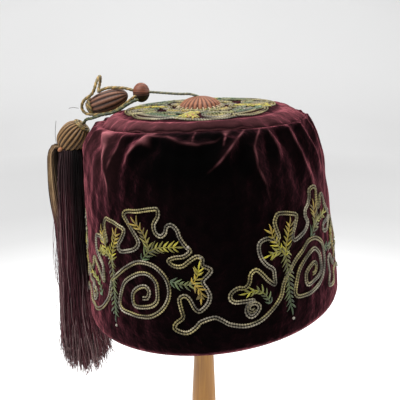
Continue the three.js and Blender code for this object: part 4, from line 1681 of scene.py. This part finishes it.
@dataclass
class Cords:
    """The twisted silk cords between the button, the beads and the tassel."""

    step: float = 0.0004
    twist: float = 2.6
    plump: float = 0.55
    collar_radius: float = 0.0009
    collar_sunk: float = 0.6
    finish: ThreadFinish = ThreadFinish("twisted_cord", 0.5, 0.08, 0.1)

    COLLAR_POINTS: ClassVar[int] = 120
    COLLAR_DYES: ClassVar[tuple[Colour, Colour]] = ((0.40, 0.26, 0.075), (0.16, 0.12, 0.045))
    ROUTES: ClassVar[tuple[CordRoute, ...]] = (
        CordRoute("tip_cord", "cord_tip", 0.0017, (0.20, 0.19, 0.10), (0.09, 0.10, 0.06), Lay.RIGHT, (
            (-0.0040, 0.0006, 0.3096), (-0.0100, 0.0018, 0.3111), (-0.0160, 0.0030, 0.3110),
            (-0.0225, 0.0046, 0.3111), (-0.0300, 0.0066, 0.3114), (-0.0380, 0.0085, 0.3117),
            (-0.0415, 0.0094, 0.3117),
        )),
        CordRoute("loop_cord", "cord_round", 0.0021, (0.40, 0.26, 0.075), (0.19, 0.145, 0.05), Lay.RIGHT, (
            (-0.0475, 0.0090, 0.3120), (-0.0506, 0.0097, 0.3129), (-0.0550, 0.0108, 0.3139),
            (-0.0594, 0.0120, 0.3142), (-0.0652, 0.0134, 0.3142), (-0.0693, 0.0146, 0.3136),
            (-0.0725, 0.0163, 0.3124), (-0.0749, 0.0189, 0.3110), (-0.0763, 0.0221, 0.3103),
            (-0.0767, 0.0252, 0.3113), (-0.0763, 0.0271, 0.3140), (-0.0755, 0.0270, 0.3171),
            (-0.0749, 0.0249, 0.3198), (-0.0747, 0.0216, 0.3212), (-0.0751, 0.0182, 0.3209),
            (-0.0758, 0.0153, 0.3190), (-0.0767, 0.0135, 0.3162), (-0.0777, 0.0128, 0.3130),
            (-0.0792, 0.0127, 0.3102), (-0.0813, 0.0129, 0.3082), (-0.0838, 0.0135, 0.3066),
            (-0.0860, 0.0142, 0.3044), (-0.0873, 0.0146, 0.3016), (-0.0872, 0.0145, 0.2987),
            (-0.0857, 0.0141, 0.2966), (-0.0830, 0.0134, 0.2955), (-0.0774, 0.0124, 0.2952),
            (-0.0719, 0.0118, 0.2959), (-0.0672, 0.0115, 0.2970), (-0.0624, 0.0107, 0.2989),
            (-0.0575, 0.0093, 0.3020), (-0.0534, 0.0076, 0.3051), (-0.0490, 0.0060, 0.3084),
            (-0.0470, 0.0062, 0.3096),
        )),
        CordRoute("tassel_cord", "cord_tassel", 0.0021, (0.13, 0.14, 0.05), (0.045, 0.065, 0.03), Lay.LEFT, (
            (-0.0876, 0.0203, 0.2879), (-0.0864, 0.0192, 0.2899), (-0.0842, 0.0166, 0.2914),
            (-0.0810, 0.0130, 0.2924), (-0.0772, 0.0100, 0.2939), (-0.0725, 0.0088, 0.2956),
            (-0.0675, 0.0087, 0.2965), (-0.0631, 0.0079, 0.2979), (-0.0588, 0.0061, 0.3002),
            (-0.0543, 0.0043, 0.3032), (-0.0498, 0.0040, 0.3057), (-0.0460, 0.0050, 0.3070),
        )),
    )

    def build(self) -> Material:
        """Makes every cord along its route.

        Returns:
            The cords' finish.
        """
        material = self.finish.material()
        for route in self.ROUTES:
            path = rounded(np.array(route.points), self.step)
            threads = Threads()
            twist = {"second_dye": route.second_dye, "pitch": self.twist * route.diameter, "lay": route.lay}
            threads.add(path, route.diameter * self.plump, route.first_dye, sides=10, **twist)
            piece = add_piece(threads.mesh(route.name), material, Slot.GILT_CORD, route.node)
        return material

    def build_collar(
        self, bead: WoundBead, start: float, end: float, turns: float, material: Material
    ) -> None:
        """Winds a few turns of cord round one end of a bead.

        Args:
            bead: The bead.
            start: Where the turns start, from -1 at its low end to 1 at its high end.
            end: Where they end.
            turns: How many there are.
            material: The cords' finish.
        """
        along = np.linspace(start, end, self.COLLAR_POINTS)
        around = np.linspace(0.0, turns * math.tau, self.COLLAR_POINTS)
        reach = bead.reach(along) + self.collar_radius * self.collar_sunk
        flat = np.stack([reach * np.cos(around), reach * np.sin(around), along * bead.half], axis=1)
        threads = Threads()
        first, second = self.COLLAR_DYES
        pitch = self.twist * 2 * self.collar_radius
        threads.add(bead.laid(flat), self.collar_radius, first, sides=8, second_dye=second, pitch=pitch)
        add_piece(threads.mesh(bead.name + "_collar"), material, Slot.GILT_CORD)


@dataclass(frozen=True)
class Bundle:
    """Silk that hangs together; each row has its middle's place, its height and its radius in millimetres."""

    strands: int
    depth: float
    top_dyes: tuple[Colour, Colour]
    turns_red_at: float
    rows: Points
    points: int = 16
    crowding: float = 1.25
    strand: float = 1.0

    def line(self) -> Array:
        """Gives its rows a millimetre apart."""
        return rounded(np.array(self.rows, float), 1.0)


@dataclass
class TasselSkirt:
    """The hanging silk of the tassel, strand by strand, in millimetres above the hem."""

    strand_radius: float = 0.42
    stray_radius: float = 0.15
    hair_radius: float = 0.2
    strays: int = 34
    stray_points: int = 16
    wisps: int = 640
    wisp_points: int = 6
    lowest: float = -77.0
    side_ends: float = 13.0
    frayed: float = 4.0
    short_ends: float = 32.0
    painted_glint_share: float = 0.06
    sways: float = 0.16
    bulges: float = 0.07
    red_blend: float = 18.0
    shade: float = 0.88
    tapers: float = 0.55
    pale_ends: float = 0.7
    finish: ThreadFinish = ThreadFinish("tassel_silk", 0.6, 0.0, 0.0, (0.55, 0.5, 0.5), 120.0, 0.12)

    # Start and span of the shade round a bundle and up it, and of a strand's end
    SHADE_ROUND: ClassVar[Pair] = (-0.15, 0.45)
    SHADE_RISE: ClassVar[Pair] = (-25.0, 50.0)
    STRAND_END: ClassVar[Pair] = (0.72, 0.28)
    BURGUNDY: ClassVar[Colour] = (0.13, 0.040, 0.052)
    PLUM: ClassVar[Colour] = (0.020, 0.008, 0.011)
    # Pale grey strands, which also stand in for painted glints
    ASHEN_AND_GLINT: ClassVar[Colour] = (0.25, 0.165, 0.165)
    MAIN: ClassVar[Bundle] = Bundle(
        1250, 22.0, ((0.012, 0.007, 0.008), (0.060, 0.030, 0.034)), 70.0, (
            (-97.6, 107, 5.5), (-97.9, 102, 10.6), (-97.8, 96, 11), (-98.4, 88, 12), (-99, 76, 12.6),
            (-99.2, 50, 13.2), (-99, 20, 14.4), (-97.6, -25, 16.6), (-95.2, -60, 20), (-95, -84, 20.5),
        ),
    )
    LOCK: ClassVar[Bundle] = Bundle(
        380, 19.0, ((0.040, 0.022, 0.014), (0.50, 0.34, 0.18)), 58.0, (
            (-104.4, 104.0, 2.2), (-107.2, 105.4, 2.6), (-109.8, 104.9, 2.8), (-111.2, 101, 3.8),
            (-111.4, 96, 4.6), (-111, 88, 5.4), (-110.2, 75, 6.2), (-108.8, 58, 6.6), (-107, 42, 6.4),
            (-105.6, 20, 7.8), (-104.6, -20, 9.6), (-104, -60, 11.2), (-104, -70, 11.2),
        ), 22, 2.0, 0.75,
    )
    # The knot that ties the lock to the head, and single hairs at the head
    KNOT: ClassVar[Points] = (
        (-106.6, 15.6, 103.2), (-105.8, 15, 103.8), (-105, 14.8, 104.4), (-104.2, 15, 105),
        (-103.4, 15.6, 105.6),
    )
    KNOT_RADII: ClassVar[Sizes] = (0.7, 1.3, 1.5, 1.3, 0.7)
    KNOT_DYE: ClassVar[Colour] = (0.38, 0.17, 0.085)
    HAIR_DYE: ClassVar[Colour] = (0.06, 0.05, 0.05)
    HAIRS: ClassVar[tuple[Points, ...]] = (
        ((-107.4, 18, 125), (-108.2, 17, 118), (-108.4, 17, 111), (-107, 17, 104)),
        ((-98, 20, 133.6), (-94.5, 19, 134.4), (-90.5, 18, 134)),
    )

    def __post_init__(self) -> None:
        """Starts the seeded unevenness of loose silk."""
        self._chance = np.random.default_rng(SEED)
        self._threads = Threads()
        self._main = self.MAIN.line()

    def build(self) -> None:
        """Makes the strands, the wisps, the stray hairs and the knot, in place of the plain solid."""
        for bundle in (self.MAIN, self.LOCK):
            line = bundle.line()
            across = left_of(line[:, :2])
            for _ in range(bundle.strands):
                self._strand(bundle, line, across)
        for _ in range(self.wisps):
            self._wisp()
        for _ in range(self.strays):
            self._stray()
        for hair in self.HAIRS:
            self._add(rounded(np.array(hair, float), 2.0), self.hair_radius, self.HAIR_DYE)
        self._add(np.array(self.KNOT), np.array(self.KNOT_RADII), self.KNOT_DYE, 8)
        mesh = self._threads.mesh("tassel_strands")
        add_piece(mesh, self.finish.material(), Slot.TASSEL_SILK, "tassel_skirt")

    def _add(self, points: Array, radius: float | Array, dye: Colour | Array, sides: int = 3) -> None:
        """Adds a thread that is given in millimetres above the hem."""
        self._threads.add((points + (0.0, 0.0, Crown.hem_height)) * MM, radius * MM, dye, sides=sides)

    def _end(self, out: float, around: float) -> float:
        """Gives the height at which a strand ends: higher towards the sides of the skirt."""
        frayed = abs(self._chance.normal(0.0, self.frayed)) + self.short_ends * self._chance.uniform() ** 3
        return self.lowest + self.side_ends * (out * math.cos(around)) ** 2 + frayed

    def _strand(self, bundle: Bundle, line: Array, across: Array) -> None:
        """Adds one hanging strand.

        Args:
            bundle: The silk that it belongs to.
            line: The bundle's rows, a millimetre apart.
            across: The way square to the line at each of its rows, as place and height.
        """
        chance = self._chance
        out, around = math.sqrt(chance.uniform(0.1, 1.0)), chance.uniform(0.0, math.tau)
        last = int(np.flatnonzero(line[:, 1] > self._end(out, around))[-1])
        fall = np.linspace(0.0, 1.0, bundle.points) ** bundle.crowding
        at = (fall * last).astype(int)
        sway = chance.normal(0.0, self.sways, 3)
        turn = around + sway[0] * np.sin(fall * 6 + sway[1] * 30) * fall + sway[2] * fall
        reach = line[at, 2] * out * (1.0 + self.bulges * np.sin(fall * 11 + around * 3) * fall)
        aside = (reach * np.cos(turn))[:, None] * across[at]
        wave = chance.uniform(0.3, 1.2) * fall * np.sin(fall * chance.uniform(14.0, 30.0) + around * 7)
        x, height = line[at, 0] + aside[:, 0] + wave, line[at, 1] + aside[:, 1]
        plum, burgundy = np.array(self.PLUM), np.array(self.BURGUNDY)
        dye = plum + (burgundy - plum) * chance.uniform(0.0, 1.0)
        # Some strands are dyed pale as painted glints
        if chance.uniform() > 1.0 - self.painted_glint_share:
            dye = np.array(self.ASHEN_AND_GLINT)
        dark, light = np.array(bundle.top_dyes)
        top = dark + (light - dark) * chance.uniform(0.0, 1.0) ** 1.5
        red = smooth(height, bundle.turns_red_at + self.red_blend, -2 * self.red_blend)[:, None]
        # Painted shade on the side of the bundle next to the cap, high up, fading down it
        behind = smooth(np.cos(turn), *self.SHADE_ROUND) * smooth(height, *self.SHADE_RISE)
        end = smooth(fall, *self.STRAND_END)
        light = (1.0 - self.shade * behind) * (1.0 + self.pale_ends * end)
        radius = self.strand_radius * bundle.strand * chance.uniform(0.65, 1.1) * (1.0 - self.tapers * end)
        points = np.stack([x, bundle.depth + reach * np.sin(turn), height], axis=1)
        self._add(points, radius, (top + (dye - top) * red) * light[:, None])

    def _beside_main(self, heights: Array, out: float, astray: Array, turn: float | Array) -> Array:
        """Finds the points of a fibre in or beside the main bundle.

        Args:
            heights: Height of each point.
            out: Where it lies in the bundle, from 0 at its middle to 1 at its outside.
            astray: How far each point strays from there, in millimetres.
            turn: How far round the bundle it lies, in radians.

        Returns:
            The points in millimetres above the hem.
        """
        middle, radius = (np.interp(-heights, -self._main[:, 1], self._main[:, column]) for column in (0, 2))
        reach = radius * out + astray
        x, y = middle + reach * np.cos(turn), self.MAIN.depth + reach * np.sin(turn)
        return np.stack([x, y, heights], axis=1)

    def _wisp(self) -> None:
        """Adds one frayed fibre at the end of the skirt."""
        chance = self._chance
        out, around = math.sqrt(chance.uniform(0.05, 1.0)), chance.uniform(0.0, math.tau)
        end = self._end(out, around)
        top, bottom = end + chance.uniform(8.0, 26.0), end - chance.uniform(0.0, 4.0)
        heights = np.linspace(top, bottom, self.wisp_points)
        astray = np.linspace(0.0, 1.0, self.wisp_points) ** 2
        turn = around + chance.normal(0.0, 0.12) * astray
        points = self._beside_main(heights, out, chance.normal(0.7, 2.0) * astray, turn)
        dye = np.array(self.ASHEN_AND_GLINT) * chance.uniform(0.4, 1.5)
        self._add(points, chance.uniform(0.16, 0.30), dye)

    def _stray(self) -> None:
        """Adds one stray hair that bows out of the bundle."""
        chance = self._chance
        around, top = chance.uniform(2.2, 4.1), chance.uniform(-10.0, 85.0)
        heights = np.linspace(top, top - chance.uniform(50.0, 100.0), self.stray_points)
        bow = chance.uniform(0.6, 5.0) * np.sin(math.pi * np.linspace(0.0, 1.0, self.stray_points))
        points = self._beside_main(np.maximum(heights, self.lowest + 1.0), 1.0, bow, around)
        self._add(points, self.stray_radius, self.ASHEN_AND_GLINT)


@dataclass
class Stand:
    """The plain turned stand, in millimetres."""

    foot_radius: float = 70.0
    foot_height: float = 14.0
    foot_bevel: float = 2.0
    foot_shoulder: float = 6.0
    foot_top: float = 20.0
    post_radius: float = 7.4
    post_swell: float = 9.1
    post_base: float = 10.4
    flare_from: float = 116.0
    flare_to: float = 76.0
    rest_radius: float = 45.0
    rest_bevel: float = 3.0
    rest_bow: float = 200.0
    clear: float = 0.3
    finish: WoodFinish = WoodFinish()

    STEPS: ClassVar[int] = 96
    SHARP: ClassVar[float] = 0.6
    BEVEL: ClassVar[float] = 0.0006

    def build(self) -> None:
        """Makes the foot, the post and the rest."""
        material = self.finish.material()
        lowest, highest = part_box("stand_rest")
        under, over = lowest.z / MM, highest.z / MM
        bevel, shoulder, middle = self.foot_bevel, self.foot_shoulder, self.foot_height / 2
        inner = self.foot_radius - bevel
        foot = [(0, 0), (inner, 0)]
        for turn in np.linspace(0.2, 1.57, 5):
            foot.append((inner + bevel * math.sin(turn), bevel - bevel * math.cos(turn)))
        inner = self.foot_radius - shoulder
        for turn in np.linspace(0.0, math.pi / 2, 8):
            foot.append((inner + shoulder * math.cos(turn), middle + middle * math.sin(turn)))
        foot += [(self.foot_top, self.foot_height), (0, self.foot_height)]
        self._turned("stand_foot_wood", foot, material, "stand_foot_disc")
        bottom, top = self.foot_height + self.clear, under - self.clear
        post = [(0, bottom), (self.post_base, bottom), (self.post_swell, self.flare_to)]
        post += [(self.post_radius, self.flare_from), (self.post_radius, top), (0, top)]
        self._turned("stand_post_wood", post, material, "stand_post")
        edge, bevel, bow = self.rest_radius, self.rest_bevel, self.rest_bow
        rest = [(0, under), (edge - bevel, under), (edge, under + bevel), (edge, under + 2 * bevel)]
        rest += [(r, over - bow + math.sqrt(bow**2 - r**2)) for r in np.linspace(edge - 2, 0.0, 12)]
        self._turned("stand_rest_wood", rest, material, "stand_rest")

    def _turned(self, name: str, profile: Iterable[Sequence[float]], material: Material, node: str) -> None:
        """Turns one wooden piece.

        Args:
            name: The piece's name.
            profile: Radius and height of each point, in millimetres.
            material: The wood.
            node: The plain solid that it stands for.
        """
        shape = spun([(radius * MM, height * MM) for radius, height in profile], self.STEPS)
        inner = (edge for edge in shape.edges if len(edge.link_faces) == 2)
        sharp = [edge for edge in inner if edge.calc_face_angle() > self.SHARP]
        kind = {"offset_type": "OFFSET", "affect": "EDGES", "segments": 2, "profile": 0.5, "material": -1}
        bmesh.ops.bevel(shape, geom=sharp, offset=self.BEVEL, **kind)
        add_piece(finished(shape, name), material, Slot.WOOD, node)


@dataclass
class Studio:
    """The pale sweep, the soft light and the camera."""

    lens: float = 54.72
    sensor: float = 36.0
    eye: Point = (-0.0031, -0.420, 0.363)
    pitch: float = 16.9
    nearest: float = 0.01
    paper: float = 3.0
    paper_parts: tuple[int, int] = (24, 60)
    paper_bends_at: float = 1.2
    paper_bend: float = 0.9
    air: float = 0.55
    finish: FloorFinish = FloorFinish()

    # Name, place, aim, side and power in watts of each light
    LIGHTS: ClassVar[tuple[tuple[str, Point, Point, float, float], ...]] = (
        ("key", (-0.55, -0.35, 1.05), (0.0, 0.0, 0.24), 0.7, 16.0),
        ("top", (0.15, 0.25, 1.25), (0.0, 0.0, 0.25), 0.9, 11.0),
        ("right", (0.95, 0.1, 0.55), (0.0, 0.0, 0.24), 0.6, 5.0),
    )

    def place_camera(self) -> None:
        """Sets the camera at the photograph's angle."""
        camera = bpy.data.cameras.new("camera")
        camera.lens = self.lens
        camera.sensor_width = self.sensor
        camera.clip_start = self.nearest
        holder = bpy.data.objects.new("camera", camera)
        holder.location = self.eye
        holder.rotation_euler = (math.radians(90.0 - self.pitch), 0.0, 0.0)
        stand_in_scene(holder)
        bpy.context.scene.camera = holder

    def build(self) -> None:
        """Makes the sweep, which curves up behind the object, the lights and the air."""
        shape = bmesh.new()
        across, along = self.paper_parts
        bmesh.ops.create_grid(shape, x_segments=across, y_segments=along, size=self.paper)
        bent = places(shape)
        bent[:, 2] = np.maximum(0.0, bent[:, 1] - self.paper_bends_at) ** 2 * self.paper_bend
        paper = bpy.data.objects.new("paper_sweep", finished(shape, "paper_sweep", bent))
        stand_in_scene(paper)
        paper.data.materials.append(self.finish.material())
        for name, place, aim, size, power in self.LIGHTS:
            lamp = bpy.data.lights.new(name, "AREA")
            lamp.size = size
            lamp.energy = power
            holder = bpy.data.objects.new(name, lamp)
            holder.location = place
            holder.rotation_euler = (Vector(aim) - Vector(place)).to_track_quat("-Z", "Y").to_euler()
            stand_in_scene(holder)
        world = bpy.data.worlds.new("studio_air")
        world.use_nodes = True
        air = world.node_tree.nodes["Background"].inputs
        air["Color"].default_value = (1.0, 1.0, 1.0, 1.0)
        air["Strength"].default_value = self.air
        bpy.context.scene.world = world
        bpy.context.scene.view_settings.view_transform = "Standard"


def beads() -> tuple[WoundBead, WoundBead, WoundBead]:
    """Gives the wound beads.

    Returns:
        The ball, the olive and the tassel's head.
    """
    # Each gives a groove colour of painted shade, the silk's own rib colour and a crest colour of painted
    # highlight
    rust = WoundFinish("ball_silk", (0.014, 0.008, 0.005), (0.15, 0.050, 0.028), (0.27, 0.090, 0.048))
    brown = WoundFinish("olive_silk", (0.018, 0.009, 0.007), (0.085, 0.038, 0.023), (0.20, 0.092, 0.055))
    gilded = WoundFinish("head_silk", (0.030, 0.017, 0.009), (0.10, 0.054, 0.021), (0.25, 0.145, 0.058))
    low, high = (-0.0443, 0.010, 0.3052), (-0.0443, 0.010, 0.3172)
    round_form = {"half": 0.0068, "rings": 15, "depth": 0.05, "shade_below": -0.45}
    ball = WoundBead("ball_silk", "cord_ball", low, high, 0.0060, 16, rust, **round_form)
    low, high = (-0.0843, 0.0185, 0.2989), (-0.0544, 0.0135, 0.3096)
    olive = WoundBead("olive_silk", "cord_olive", low, high, 0.0075, 11, brown, blunt=2.2)
    low, high = (-0.1047, 0.022, 0.2675), (-0.0882, 0.021, 0.2868)
    head = WoundBead("head_silk", "tassel_head", low, high, 0.0108, 20, gilded, blunt=2.5)
    return ball, olive, head


def main() -> None:
    """Builds every piece in order."""
    logging.basicConfig(level=logging.INFO, format="%(name)s %(message)s")
    studio = Studio()
    studio.place_camera()
    cords = Cords()
    cord_finish = cords.build()
    crown = Crown()
    velvet = crown.finish.material()
    crown.build_side(velvet)
    crown.build_tip(velvet)
    TipButton(crown).build(cord_finish)
    ball, olive, head = beads()
    for bead in (ball, olive, head):
        bead.build()
    cords.build_collar(olive, -0.95, -0.70, 2.6, cord_finish)
    cords.build_collar(head, 0.86, 1.0, 2.4, cord_finish)
    TasselSkirt().build()
    Embroidery(crown).build()
    Stand().build()
    studio.build()


if __name__ == "__main__":
    main()
